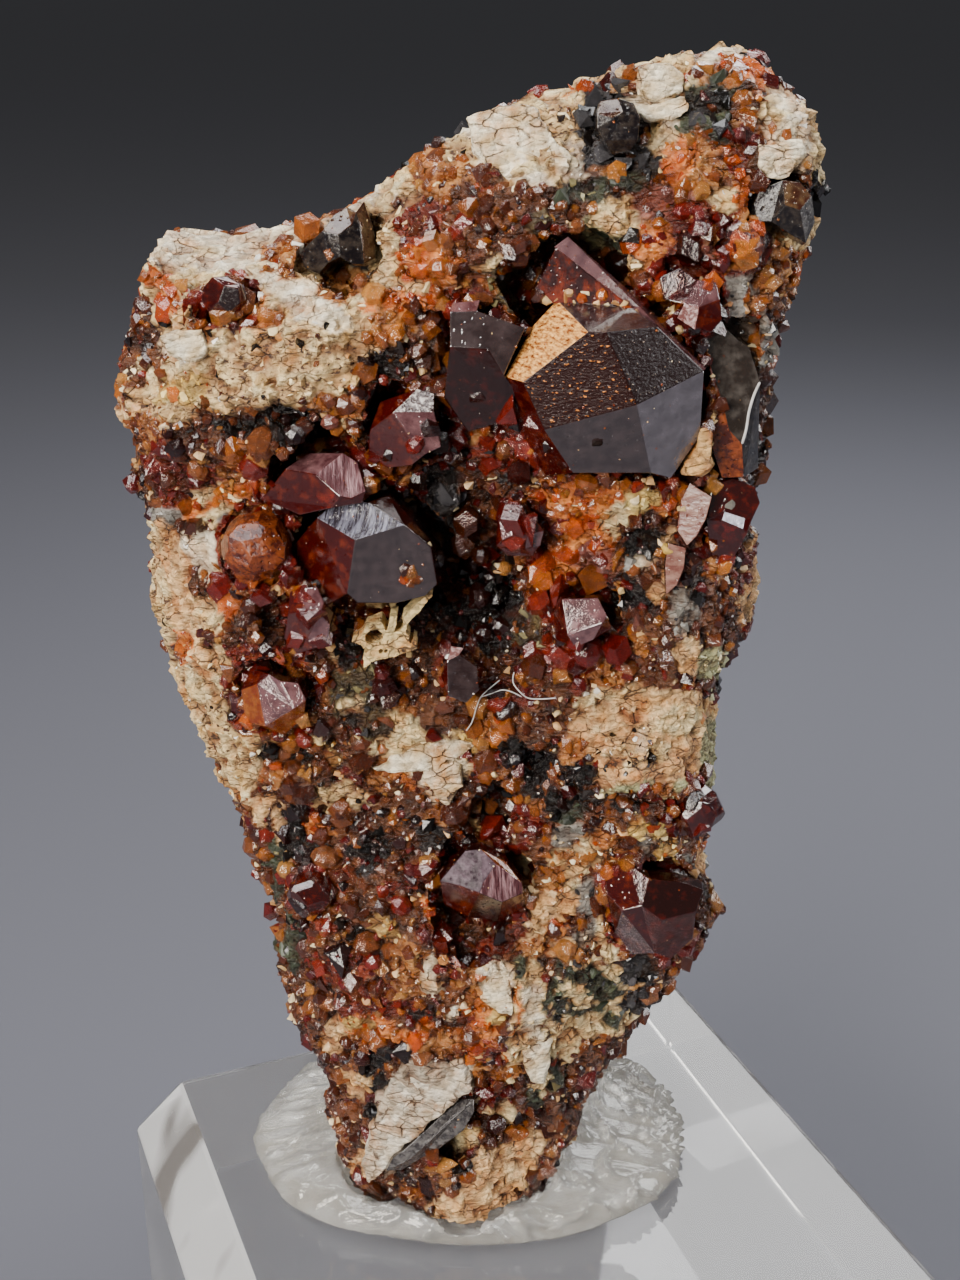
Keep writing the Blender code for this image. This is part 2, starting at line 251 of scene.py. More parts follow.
# ---------------------------------------------------------------- minerals of the rock
# Each mineral: two rock tones, how specked, how glossy, relief in mm, share of the surface that
# carries grains, largest grain class, and the grains' families by weight.
MINERALS = {
    "brown": ("#28120a", "#7c4c2e", 0.3, 0.85, 0.5, 0.92, 1.0, "bbbbbbbaardtbbaarc"),
    "amber": ("#7a3c14", "#d09458", 0.2, 0.95, 0.4, 0.9, 0.9, "aaaaaabbohtaaabbc"),
    "orange": ("#b04a16", "#f09c54", 0.1, 1.0, 0.35, 0.9, 0.8, "ooooooaaach"),
    "red": ("#44120a", "#8e3c26", 0.1, 1.0, 0.4, 1.0, 1.0, "rrrrrrrrbdabh"),
    "rose": ("#6a2e24", "#b0786a", 0.1, 0.9, 0.35, 0.9, 0.9, "pppppbar"),
    "dark": ("#080504", "#20120c", 0.1, 0.95, 0.55, 1.0, 0.8, "kkkkddrb"),
    "smoky": ("#1a1a1c", "#403c3c", 0.15, 0.8, 0.35, 0.8, 0.9, "sssskk"),
    "olive": ("#2c2616", "#7c6c44", 0.4, 0.6, 0.5, 0.9, 0.8, "vvvssbb"),
    "moss": ("#181c14", "#4c5238", 0.4, 0.6, 0.45, 0.8, 0.7, "mmmmskv"),
    "cream": ("#d8ac66", "#ffeebc", 0.5, 0.2, 0.45, 0.16, 0.5, "ccccchw"),
    "peppered": ("#bc9860", "#f8dca4", 1.0, 0.2, 0.5, 0.25, 0.5, "cccchkb"),
    "white": ("#ead4aa", "#fff6e0", 0.2, 0.3, 0.3, 0.1, 0.5, "wwwc"),
    "tan": ("#d69c58", "#ffdca4", 0.45, 0.2, 0.4, 0.22, 0.45, "ttttth"),
    "gold": ("#b88a3c", "#e6cd80", 0.2, 0.4, 0.35, 0.6, 0.6, "gggco"),
    "green": ("#8a8a60", "#c4c290", 0.4, 0.3, 0.3, 0.4, 0.5, "eec"),
    "grey": ("#6c6862", "#a09a90", 0.3, 0.5, 0.3, 0.4, 0.7, "yyycs"),
    "pale": ("#b09c84", "#dccdb6", 0.25, 0.35, 0.1, 0.02, 0.4, "yw"),
}
MINERAL_NAMES = list(MINERALS)

# Grain families: the finish they share, and their darkest, middle and palest tones.
FAMILIES = {
    "b": ("garnet", "#3e160a", "#78381a", "#b86c3a"),
    "a": ("garnet", "#8a4214", "#c66e26", "#eca656"),
    "o": ("garnet", "#b43c06", "#e86210", "#ff9c3c"),
    "r": ("garnet", "#480a06", "#84180c", "#b43a20"),
    "p": ("garnet", "#7a4034", "#a86456", "#cc9488"),
    "d": ("garnet", "#1c0806", "#34100a", "#521a10"),
    "h": ("feldspar", "#9a6436", "#c89458", "#e4c090"),
    "k": ("quartz", "#0c0a0a", "#14100e", "#2a201c"),
    "s": ("quartz", "#2c2a2c", "#4a484a", "#6a666a"),
    "y": ("quartz", "#7c7870", "#9a968e", "#b8b4aa"),
    "v": ("feldspar", "#3c3422", "#6e6440", "#948a60"),
    "m": ("feldspar", "#1e221a", "#343a2c", "#4c5440"),
    "c": ("feldspar", "#b88e56", "#e0c48e", "#f6e4ba"),
    "w": ("feldspar", "#d4c2a4", "#efe8dc", "#fffcf4"),
    "t": ("feldspar", "#a87844", "#cfa470", "#e8c89c"),
    "g": ("feldspar", "#b88c38", "#dcb860", "#f0dc98"),
    "e": ("feldspar", "#8c8c64", "#b4b488", "#d0d0a8"),
}

# Where each mineral shows on the display face: ellipses of x, height, half width, half height and, if
# they lean, a tilt in degrees. Later ones lie over earlier ones. A line that starts with # names the
# region that its rows fill.
# painted glint: the small white patch below stands in for a glint
PATCHES = """
# the feldspar boss, top left
cream -13.6 50.6 5.6 3, -13.2 47.8 6.2 2.5 3, -8.6 49.2 1.6 1.2 -10
peppered -12.2 48.2 2.6 0.7 15, -9.4 47.5 1.6 0.8 5, -14.8 46.6 2 0.6, -12.2 45.9 2.2 0.5 8
peppered -17.2 45.4 1.2 0.9
white -16.4 52.8 1.7 0.9 -12, -12.6 52.5 2.9 0.9 8, -10.6 50.3 2.6 0.75 -32, -8.3 54.3 2 0.9 22
white -16.3 48.2 1.3 0.6, -6.2 50.6 0.8 0.4 -30
gold -15.9 46.3 0.9 0.8, -16.9 46.2 0.6 0.6
orange -16.6 50.6 0.8 0.9, -16.9 51.5 0.6 0.4
brown -17.9 49.2 0.7 1.5 10, -18.4 47.6 0.5 1.4, -17.3 47.6 0.3 1 15
amber -19 46.2 0.6 1.2, -17.8 44.6 1 0.7, -12.8 50.2 0.5 0.4, -12.4 49.4 0.7 0.5, -15.1 49.2 0.5 0.5
amber -11.6 52 0.9 0.7 20
# along the rim
white -15.7 53.4 2.2 1.1, -12.6 53.9 2.6 1 8
cream -9.6 55 1.8 1.1 22, -6.2 56.4 2.2 1.2 22, -2.6 58.6 2.4 1.2 20, 0.6 59.9 2.4 1 5, 4.2 60.2 2.4 1 5
cream 10.2 60 1.8 1 -35, 11.6 56.8 1 2.8, 11.6 53.6 0.8 1.6
white 7.4 61.2 2.2 1 5
amber -10.9 54.2 0.7 0.8, -4.2 57.6 0.7 0.6, 9.6 60 0.9 0.5 -20
# between the boss and the ridge
cream -7.3 52.2 0.9 2.8 -4, -6.4 55.6 1.3 0.9 25
smoky -8.2 51.8 0.35 1.9 -8
amber -9 50.8 1 0.8, -4.4 55.7 1.5 1.5 20, -10 52.4 0.4 0.6
red -5.4 53.2 1.1 1.6, -2.5 54.4 0.7 0.7
orange -5.2 51.6 1.5 0.9 10, -6.9 49.8 1 0.8, -5.2 50.4 1 0.5
brown -1.7 53.5 2 1.5, -3.6 53.6 1 1.6
cream -2.6 51.7 1.5 0.3 6, -5.9 50.9 0.8 0.3 10
olive -1.8 50.8 1.5 0.9, -0.7 53.4 0.6 0.9
amber -3.2 50.4 0.8 0.7, -6.9 48.9 1 1
red -0.7 50.6 0.8 1.1
dark -7 46.8 0.9 1.6
# the top ridge
cream -1.8 57.2 3.4 1.6 -8, 0.2 58.6 3.2 0.7 18, -0.6 55.4 1.8 0.5 10
white -2.3 56.9 1.5 1.2 -20, 0.9 56.3 0.8 0.8, -0.9 55.2 0.9 0.3
peppered -3.7 56.6 0.8 0.45, -0.2 56.6 0.7 0.7, 0.4 57.5 0.8 0.6
amber 1.4 58.9 1.2 0.4 14, 3.6 59.6 0.8 0.3, 2.4 55.9 0.6 0.5
smoky 2.2 57.4 1.3 1.5, 3.9 56 0.8 0.9, 1.8 58.7 0.8 0.5
cream 4.8 57.2 1 1.6, 5 59 0.6 0.9
white 4.1 59.2 1 0.7, 4 57.9 1.1 0.4 -8, 7 60.5 1.6 0.4 10
moss 6 57.8 1.2 1.5, 6.6 59.1 1 0.7
amber 6.6 59.7 1.3 0.5, 6.2 55.8 1.2 1.2, 8.2 57.4 0.8 0.9
orange 8.4 59.4 1.3 0.5 -22, 5.2 56 0.8 0.9, 7.9 54.4 0.7 0.9
cream 9.9 58.2 1.4 1.2, 11 57 0.7 1.8, 7 53.9 0.8 0.9
white 9.7 56.6 1 1.3, 9.6 58.5 0.8 0.6
red 8 56.6 0.5 0.8, 7.7 55.8 0.5 0.7
dark 9.9 54.3 1.5 1, 6.2 58.4 0.5 0.5
# right of the largest crystal
green 1.9 53.1 1 0.8
cream 2.7 53.8 1.1 0.8, 3.3 51.7 1.1 0.35 -35
moss 2.9 52.5 0.8 0.4, 1.4 54.9 1 0.6, 2.6 55.2 1.6 0.4
rose 4.7 54.4 1.3 0.7, 7 51.6 0.6 1.2
orange 4.4 52.6 1 0.9, 4.6 51 0.9 0.7 -30, 6.9 51 0.4 0.7
red 5.7 53.6 1.1 0.9, 5.5 51.6 0.9 1.2, 6.6 50.2 0.7 1.4
amber 10.3 52.3 1.1 0.9, 9.9 50.9 1 0.6 20, 7.6 53.3 0.5 0.6
cream 9 53.3 0.7 0.4 -20, 10.4 52.6 0.6 0.4
grey 8 50.9 0.9 1.1, 8.7 48.6 1.1 1.6 10
amber 8.9 49.9 0.6 0.5, 8.9 48.2 0.3 1.2, 7.2 46.8 0.6 1.8
cream 6.8 43.7 0.9 0.9 35, 7.1 45.2 0.3 1.3
# under the boss
dark -12.2 44.7 2.2 0.9 6, -14.6 44.1 1.8 0.6, -11.3 43.6 1.2 1
brown -15.6 42.9 2.8 1.4, -13 43.2 1.6 0.9
red -17.2 42.6 0.9 1.4, -15.2 41.9 0.9 0.8, -16.9 41.2 0.8 0.8
amber -14.2 43.1 0.6 0.9, -9.3 45.4 1.2 0.9, -14.2 41.8 0.8 0.5
tan -19.1 43.6 0.5 2.4, -12.3 42.6 1.5 0.35 28
orange -13.9 41.4 2 0.5 24, -16.3 40.8 0.9 0.4
cream -9 44.6 0.9 0.4 20, -14.6 40.6 1.3 0.35 12, -15.2 41.7 0.8 0.25 30
grey -14.2 40.2 0.8 0.5, -17.2 40.6 0.7 0.5
# left shoulder
cream -18.4 37.6 1.2 2.9 -6, -16.6 31.6 1.5 2.6 -8, -14.7 27.9 1.1 1.9 -10
peppered -18.6 38.4 0.8 2 -6, -17.6 35.2 0.7 1.6 -10, -15.4 29.5 0.9 1.8 -8
tan -17 37.8 0.6 2.6 10, -16.4 35.4 0.9 1.4, -16 33.2 1 1
white -15.3 38.6 1.1 1.2, -16.4 38.9 0.4 1.2 12
orange -14.4 36.7 1.2 1, -14.7 37.3 0.6 0.4, -16.9 34 0.5 0.9
cream -15.7 35.6 0.6 0.9, -15.4 33.4 0.7 0.7, -17.1 32.6 0.6 0.6
brown -13.9 35.4 0.8 0.9, -12.6 36.4 0.9 0.5
red -13.8 33.5 0.9 0.8, -12.3 33.6 1.2 0.7, -14.4 31.2 0.6 1.4
amber -11 31.6 1 1.2, -12.8 30.4 1.2 0.5 10
cream -12.9 37 0.5 0.25, -11.4 29.4 0.8 0.4, -9.8 33.4 0.4 0.3
# the middle
amber -6.2 42.4 1.1 1, -5.6 43.3 0.5 0.4
dark -4.8 42.2 1 1.3, -3.2 44.3 2.3 1.1, -7.6 41.2 1.4 0.4 -25
smoky -4.5 40.8 1.1 1.1, -5.3 39 0.8 1, -1.9 42.3 0.6 0.5
dark -5.6 37.2 1 1.4, -3.1 36.8 2 2, -2.6 34.6 2.2 1
red -2 43.3 1.3 0.7, -0.6 44.3 0.8 0.9, 0.2 35 0.8 1.4
dark -8.6 35.8 1.7 0.9, -9.4 37 0.5 1.8, -9 33.9 0.9 0.8
olive -8.8 31.8 1.5 1.4, -0.8 35 0.6 0.9, -8.3 30.2 1.2 1.2
cream -9 31.2 0.8 0.5, -5 38 0.35 0.5, -6.8 30.3 0.8 0.7
brown -6.2 33.2 2 1.4, -4.2 32.8 1.6 1.6
dark -3.6 33.6 1.2 0.8, -1.6 28.2 1.2 1.2, -0.2 27.5 0.5 1.4
red -1.6 31.6 1.3 0.9, -4.4 32 0.7 0.6, -3 27.9 1 0.9
amber -2.4 30 0.9 0.8, -1.9 27 1 0.7, -6.6 31.2 0.6 0.5
# bright druse under the largest crystal
orange 1.6 40.4 1.9 1.9, 0.2 37.9 1.1 1.1, -0.6 41.2 0.9 0.5
amber -0.4 37 1 0.7, 3.6 41.6 1.1 0.9, 5.9 41.7 0.7 0.7
orange 2.6 41.2 0.7 1, 5.1 40.7 0.9 0.5, 2.2 39.4 0.9 0.7
gold 4.2 41.3 0.8 0.8, 2.3 42.3 0.3 0.4
cream 3.1 40.3 0.5 0.9 -30, 6.3 43.3 0.7 0.4, 2.4 42.6 0.4 0.25
dark 4.4 39.2 1 0.7 15, 3.4 36.6 1.6 1.1, 2.7 38 0.5 0.4
white 4.1 38.2 0.45 0.3 30
rose 2 38.2 0.9 0.5, 6.9 41.1 0.8 1.4, 6 38.2 0.5 1.5
tan 5.5 38.6 0.35 1.3, 5 36.8 0.5 0.7
brown 7.6 39.4 0.8 1.8, 7.9 36.4 0.9 1, 3.6 35.3 1.5 0.5
red 8.9 38.4 0.5 1.6, 8.4 41.6 0.9 0.9, 2.6 37.2 0.8 0.4
tan 9.8 38.8 0.4 2.2, 9.3 36.6 0.3 0.9
grey 6.3 36.2 0.7 0.8, 6.6 35.4 0.7 0.6
dark 6.9 37.4 0.3 1, 9.3 43.6 0.4 0.7
red 1.1 33.4 1.3 1.1, 3.7 33.3 0.6 0.8, 2 32.2 0.9 0.5
amber 2.6 32.6 0.8 0.6, 3 33.8 0.5 0.5, 4.6 34 0.7 0.6
brown 5.4 33.6 0.8 0.9, 0.6 30.4 1 0.8 -20
# banded tan lump
tan 4.8 30.3 3.8 1.9, 5.2 28.2 3.3 1.8, 6.6 33.4 0.6 1.2
cream 4.4 28.6 1.6 0.9, 3 31.6 1.8 0.4 8, 6.6 30.4 1.3 0.9
peppered 4.9 29.6 0.5 0.8, 4 28.4 0.9 0.4, 5.4 28.4 0.3 0.5
white 4.6 29.3 0.4 0.5
green 7.9 33.3 0.7 1, 8.2 28.6 0.7 2, 7.1 26.8 0.7 0.7, 3.9 26.7 1.7 0.3 12, 6.3 26 0.5 0.3
dark 1.6 27.6 1.2 0.9, 4.3 25.8 1.4 0.35 8, 2 25.9 0.8 0.7
moss 1.4 25.4 0.8 0.5
amber 1.4 28.9 0.7 0.8, 0.4 27 0.6 0.5, 6 26.5 0.7 0.4
# lower left
cream -6 28.3 2.6 0.7 22, -4.9 28 1.3 1.3, -6.9 29.2 1.4 0.5 20
white -4.7 28.2 0.9 1.2, -5.6 27.6 0.8 0.5, -5.4 26.2 0.3 1
gold -12.4 29.1 1.2 0.35 -5, -10.4 28.6 0.5 0.6, -3.7 29 0.5 0.4
dark -12.6 28.2 1.6 0.6, -11.9 24.1 1.4 1.3, -8.6 23.2 1.2 0.9
amber -13 27.3 0.8 0.7, -7.8 27.5 0.9 0.7, -5 25.2 0.8 0.6
red -9.4 27.2 0.6 0.6, -11.4 25.3 0.8 0.5, -4.8 26.7 0.5 0.4
orange -6.9 27.3 0.5 0.5, -11 24.4 0.6 0.4
peppered -10.4 26.2 1.2 0.7, -9 26 0.9 0.4 -10
brown -8.4 24.9 1.3 0.8, -6.6 25.9 1 0.6, -9.4 21.6 1 1.2
tan -13.9 25.6 0.7 0.8 -20, -13 23.2 0.4 2.6 -6
moss -13.2 22.2 0.4 2 -4, -12.6 18 0.5 1.8 -4
smoky -5.2 24 0.8 0.7, -8.6 22.4 0.5 0.5
red -6.2 21.4 1 0.6, -7.4 20.8 0.6 0.9, -9.7 21.8 0.5 0.8
gold -8 18.7 0.9 0.6 -40
orange -5.5 19.8 0.6 0.6
dark -9 18 0.9 0.9, -4.3 20 0.6 0.4, -10.6 19.2 0.9 0.7
red -11.2 18.9 1.2 0.7, -9.8 16.4 1.6 1.1, -5.2 18.6 0.9 0.6
amber -6.8 17.2 1.2 0.9, -9.8 17.6 0.8 0.4
# lower right
red -1 24.6 1.2 1, -1.4 18.6 0.8 0.9, -2.6 17.8 0.9 0.6
dark -2.4 25.8 0.6 0.9, 0.6 25.8 0.9 0.6
amber -0.4 25.6 0.5 0.5, 3.4 24.2 0.8 0.8, 2.4 23.6 0.9 0.5
grey 1.3 24.2 0.8 0.7, 5 23.6 0.4 0.8, 7.3 22.6 0.7 0.5
cream -2.6 24.2 1.5 0.3 -40, -0.8 21.8 0.35 1.5 8, 1.8 22.7 1.6 0.9
amber 1.7 22.8 0.8 0.5, 0.2 21.6 0.8 1, 3.7 23.4 0.4 0.8
gold 4.7 24.6 0.5 0.6, 6.2 24.4 0.6 0.8, 6.1 23.2 0.5 0.6
tan 8.2 23 0.5 1
orange 8.1 24 0.4 0.6, 1 19 0.5 0.5
brown 7.2 23.9 0.4 1, 8.6 21.4 0.4 1
tan 0.3 19.8 1.2 1.2, 1.4 20.8 0.8 0.6, 0.4 17.8 1.8 0.8
grey 2.4 20.4 0.9 1, 2.6 18.4 0.9 0.8
amber -0.4 17.6 1.1 0.6, 1.4 17.2 0.7 0.5, 0.6 18.8 0.6 0.6
cream 3.3 19.4 0.35 2 -6, 3.6 17.6 0.4 0.6 20, 1.4 21.6 0.4 0.6 30, 3 14.6 2.4 2.4, 1.4 12.4 0.9 1.6
moss 2.3 16 0.9 0.7, 3.3 15.2 0.8 0.6, 2.4 13.9 0.8 0.4, 1.2 14 0.35 1.2 10, 3.8 13.4 0.6 0.4
moss 0.9 16.1 0.3 0.9
smoky 4.9 16.2 1.1 1, 4.9 14.4 0.8 0.8
# the foot
amber -3.7 16.2 1 0.9, -6.8 15.6 1.2 1.2, -2.8 14.4 1.2 0.8
red -8.6 14.4 1.8 1, -4.4 17 0.9 0.5, -7.4 14 1.2 0.5
orange -9.2 12.8 1.8 0.9, -6 12.3 1.7 0.7, -3 12.4 1.1 1.8
amber -5 11.7 1.4 0.5, -10 11.7 1.4 0.4, -2.4 10.2 1.4 1.4
gold -9.4 13 0.7 0.5, -2.2 13.4 0.5 0.8
white -5.5 16.1 0.6 1.2 -6, -2.3 16 0.9 1.3 8, -4.4 14 0.5 0.35
cream -0.5 13.6 0.9 2.9, -0.8 16.4 0.8 0.7, -1.2 11 0.6 0.9
white -0.3 13.6 0.5 2
moss -1.1 16.6 0.35 0.5, 0.5 14.8 0.2 1
orange -1.05 14.2 0.16 1.6
red -2.5 11 0.7 0.6, -3.6 13.4 0.5 0.4, -2.6 8.6 0.8 0.8
dark -6 13.7 0.7 0.4, -7.7 11.2 1 0.5 -10, -9 10.6 0.8 0.7
tan -10.6 12.2 0.7 1.4 -10, -9.6 9.4 0.8 1, -9.2 4.6 0.8 1.6
brown -9.6 6.8 0.5 1.4, -9.7 11 0.4 0.8
pale -5.7 9.6 2.1 1.3 -6, -6.7 7.8 1.9 2, -7.9 5.4 1.1 2.3 10
white -3.7 9.9 0.4 1, -6.3 5.6 0.9 0.35 48
dark -8.7 8 0.3 1.3, -8.4 9.2 0.3 0.6
cream -4.1 6.1 1 0.8, -1.8 7.4 1 0.7 -40, 0.2 9.4 0.6 1.4
moss 0 8.4 0.5 0.6, 1 9.6 0.3 1
brown -2.4 6.4 0.5 1 -30, -5.2 3.6 2.4 1.3, -6.3 1.8 1.6 0.8
amber -6.6 2.3 0.8 0.5, -5 4.2 0.8 0.5
tan -2 3.6 1.8 2.2 -30, -3.4 1 2.6 1.4, -0.8 5.2 1 1.4 -30
dark -3.9 4 0.6 0.4, -7.2 3.4 0.7 0.5 30
"""

# Deep places of the display face: x, height, half width, half height, depth.
HOLLOWS = (
    (-3.2, 36.7, 1.9, 1.9, 1.6), (-5.6, 37.2, 1.0, 1.5, 0.7), (-12.3, 44.7, 2.4, 0.8, 0.9),
    (-4.6, 42.3, 1.0, 1.2, 0.5), (-0.2, 27.6, 0.6, 1.4, 0.8),
    (-2.3, 25.9, 0.6, 0.9, 0.6), (-12.6, 28.3, 1.6, 0.6, 0.7), (4.4, 25.9, 1.6, 0.4, 0.6),
    (2.9, 52.3, 0.6, 0.4, 0.4), (-9.0, 18.0, 0.8, 0.8, 0.5), (2.3, 36.8, 1.6, 0.7, 0.4),
    (4.4, 39.3, 0.9, 0.5, 0.5), (-7.4, 46.6, 0.6, 1.4, 0.4), (-8.7, 35.9, 1.8, 0.6, 0.5),
)


def read_patches(table):
    """The (mineral, ellipse) pairs of a table, in their order."""
    for row in table.strip().splitlines():
        if row.startswith("#"):
            continue
        name, ellipses = row.split(" ", 1)
        for ellipse in ellipses.split(","):
            yield name, [float(part) for part in ellipse.split()]


def on_display(points):
    """Where points fall on the display plane, seen from the eye."""
    share = (DISPLAY_Y - EYE[1]) / (points[:, 1] - EYE[1])
    return EYE[0] + (points[:, 0] - EYE[0]) * share, EYE[2] + (points[:, 2] - EYE[2]) * share


def in_ellipse(x, height, middle, level, half_width, half_height, tilt=0.0):
    """Square of the distance from an ellipse's middle, where 1 is its edge."""
    turn = math.radians(tilt)
    across, up = x - middle, height - level
    along = across * math.cos(turn) + up * math.sin(turn)
    beside = up * math.cos(turn) - across * math.sin(turn)
    return (along / half_width) ** 2 + (beside / half_height) ** 2


def noises(points, size, start=(0, 0, 0)):
    """Smooth noise with lumps of this size, in mm, at every point."""
    return np.array([noise.noise(Vector(p) / size + Vector(start)) for p in points])


def wander(points, size):
    """Noise of this size that pulls every point its own way."""
    return np.array([noise.noise_vector(Vector(p) / size) for p in points])


def mineral_map(points, normals):
    """The index of the mineral at every point: from the patches in front, and from noise behind."""
    broad, fine = wander(points, 1.1), wander(points, 0.42)
    x, height = on_display(points)
    # the patches' edges wander, so that no ellipse shows
    x = x + 0.5 * broad[:, 0] + 0.22 * fine[:, 0]
    height = height + 0.5 * broad[:, 1] + 0.22 * fine[:, 1]
    kinds = np.full(len(points), -1)
    for name, ellipse in read_patches(PATCHES):
        kinds[in_ellipse(x, height, *ellipse) < 1.0] = MINERAL_NAMES.index(name)
    masses = noises(points, 8.0, (3, 7, 1))
    veins = noises(points, 3.6, (9, 2, 5))
    behind = np.full(len(points), MINERAL_NAMES.index("brown"))
    rules = (
        ("amber", veins > 0.08), ("orange", veins > 0.3), ("red", veins < -0.22), ("dark", veins < -0.42),
        ("cream", masses + 0.35 * veins > 0.16), ("peppered", masses + 0.5 * veins > 0.36),
        ("tan", masses - 0.3 * veins < -0.42), ("white", masses + 0.2 * veins > 0.5),
        ("smoky", (masses < -0.1) & (veins < -0.3)),
    )
    for name, where in rules:
        behind[where] = MINERAL_NAMES.index(name)
    back = points[:, 1] + 1.2 * broad[:, 2] > 2.4
    seen = ((np.array(EYE) - points) * normals).sum(axis=1) > 0.0
    kinds = np.where(kinds < 0, np.where(back, behind, 0), kinds)
    return np.where(back & ~seen, behind, kinds)


# ---------------------------------------------------------------- finishes
def rock_finish():
    """Broken feldspar rock, uncut: a dull sugary surface with specks, rusty stains and a few glints."""
    tree, place, close = new_finish("broken feldspar rock")
    tone = add_node(tree, "Attribute", out="Color", attribute_name="tone")
    specked = add_node(tree, "Attribute", out="Fac", attribute_name="specked")
    gloss = add_node(tree, "Attribute", out="Fac", attribute_name="gloss")
    # flaky grains about 0.3 mm across and half as thick
    flaky = add_node(tree, "Mapping", {"Vector": place, "Rotation": (0.5, 0.3, 0.4), "Scale": (1, 1, 2)})
    grains = add_node(tree, "TexVoronoi", {"Vector": flaky, "Scale": 2600.0, "Randomness": 1.0}, out=None)
    grey = add_node(tree, "SeparateColor", {"Color": grains.outputs["Color"]})
    level = add_node(tree, "MapRange", {"Value": grey, "To Min": 0.7, "To Max": 1.24})
    shade = add_node(tree, "VectorMath", {0: tone, "Scale": level}, operation="SCALE")
    # rusty stain, in blots of a millimetre or two
    blots = add_node(
        tree, "TexNoise", {"Vector": place, "Scale": 620.0, "Detail": 5.0, "Roughness": 0.65}, out=None
    )
    blot, swirl = blots.outputs[0], blots.outputs["Color"]
    rust = add_node(tree, "MapRange", {"Value": blot, "From Min": 0.47, "From Max": 0.68, "To Max": 0.85})
    rusty = add_node(
        tree, "Mix", {0: rust, 6: shade, 7: linear("#d8a064")}, out=2, data_type="RGBA",
        blend_type="MULTIPLY",
    )
    # thin dark cracks that come and go
    bend = (0.0009, 0.0009, 0.0009)
    bent = add_node(tree, "VectorMath", {0: swirl, 1: bend, 2: flaky}, operation="MULTIPLY_ADD")
    edge = add_node(
        tree, "TexVoronoi", {"Vector": bent, "Scale": 900.0, "Randomness": 1.0}, out="Distance",
        feature="DISTANCE_TO_EDGE",
    )
    crack = add_node(tree, "MapRange", {"Value": edge, "From Max": 0.045, "To Min": 1.0, "To Max": 0.0})
    here = add_node(tree, "MapRange", {"Value": blot, "From Min": 0.44, "From Max": 0.6})
    # dark specks about 0.2 mm across
    dots = add_node(tree, "TexNoise", {"Vector": flaky, "Scale": 2600.0, "Detail": 3.0, "Roughness": 0.6})
    dot = add_node(tree, "MapRange", {"Value": dots, "From Min": 0.56, "From Max": 0.62})
    marks = add_node(tree, "Math", {0: crack, 1: here}, operation="MULTIPLY")
    dirty = add_node(tree, "Math", {0: dot, 1: specked, 2: marks}, operation="MULTIPLY_ADD", use_clamp=True)
    colour = add_node(tree, "Mix", {0: dirty, 6: rusty, 7: linear("#4a2c16")}, out=2, data_type="RGBA")
    rough = add_node(tree, "MapRange", {"Value": gloss, "To Min": 0.8, "To Max": 0.12})
    # crumbs and torn edges, and a groove along every crack
    crumbs = add_node(tree, "TexNoise", {"Vector": place, "Scale": 5200.0, "Detail": 6.0, "Roughness": 0.7})
    torn = add_node(tree, "Math", {0: crumbs, 1: grains.outputs["Distance"]}, operation="SUBTRACT")
    height = add_node(tree, "Math", {0: marks, 1: -1.2, 2: torn}, operation="MULTIPLY_ADD")
    bump = add_node(tree, "Bump", {"Height": height, "Strength": 1.0, "Distance": 0.0002})
    return close({"Base Color": colour, "Roughness": rough, "Normal": bump, "IOR": 1.6})


def grain_finish(name, rough, ior, clear, gleam, bump_scale, bump_strength):
    """Small crystals with tones of their own."""
    tree, place, close = new_finish(name)
    tone = add_node(tree, "Attribute", out="Color", attribute_name="tone")
    cloud = add_node(tree, "TexNoise", {"Vector": place, "Scale": 1800.0, "Detail": 4.0})
    level = add_node(
        tree, "MapRange", {"Value": cloud, "From Min": 0.3, "From Max": 0.7, "To Min": 0.6, "To Max": 1.3}
    )
    colour = add_node(tree, "VectorMath", {0: tone, "Scale": level}, operation="SCALE")
    pits = add_node(tree, "TexNoise", {"Vector": place, "Scale": bump_scale, "Detail": 4.0, "Roughness": 0.6})
    bump = add_node(tree, "Bump", {"Height": pits, "Strength": bump_strength, "Distance": 0.0001})
    uneven = add_node(tree, "MapRange", {"Value": pits, "To Min": rough * 0.5, "To Max": rough * 1.6})
    return close({
        "Base Color": colour, "Roughness": uneven, "Normal": bump, "IOR": ior,
        "Transmission Weight": clear, "Specular IOR Level": gleam,
    })


# What passes through clear garnet, garnet with fire in it, and smoky quartz.
WINE = (0.9, 0.3, 0.12)
EMBER = (0.95, 0.55, 0.15)
SMOKE = (0.62, 0.54, 0.46)
GARNET_IOR = 1.79
QUARTZ_IOR = 1.55

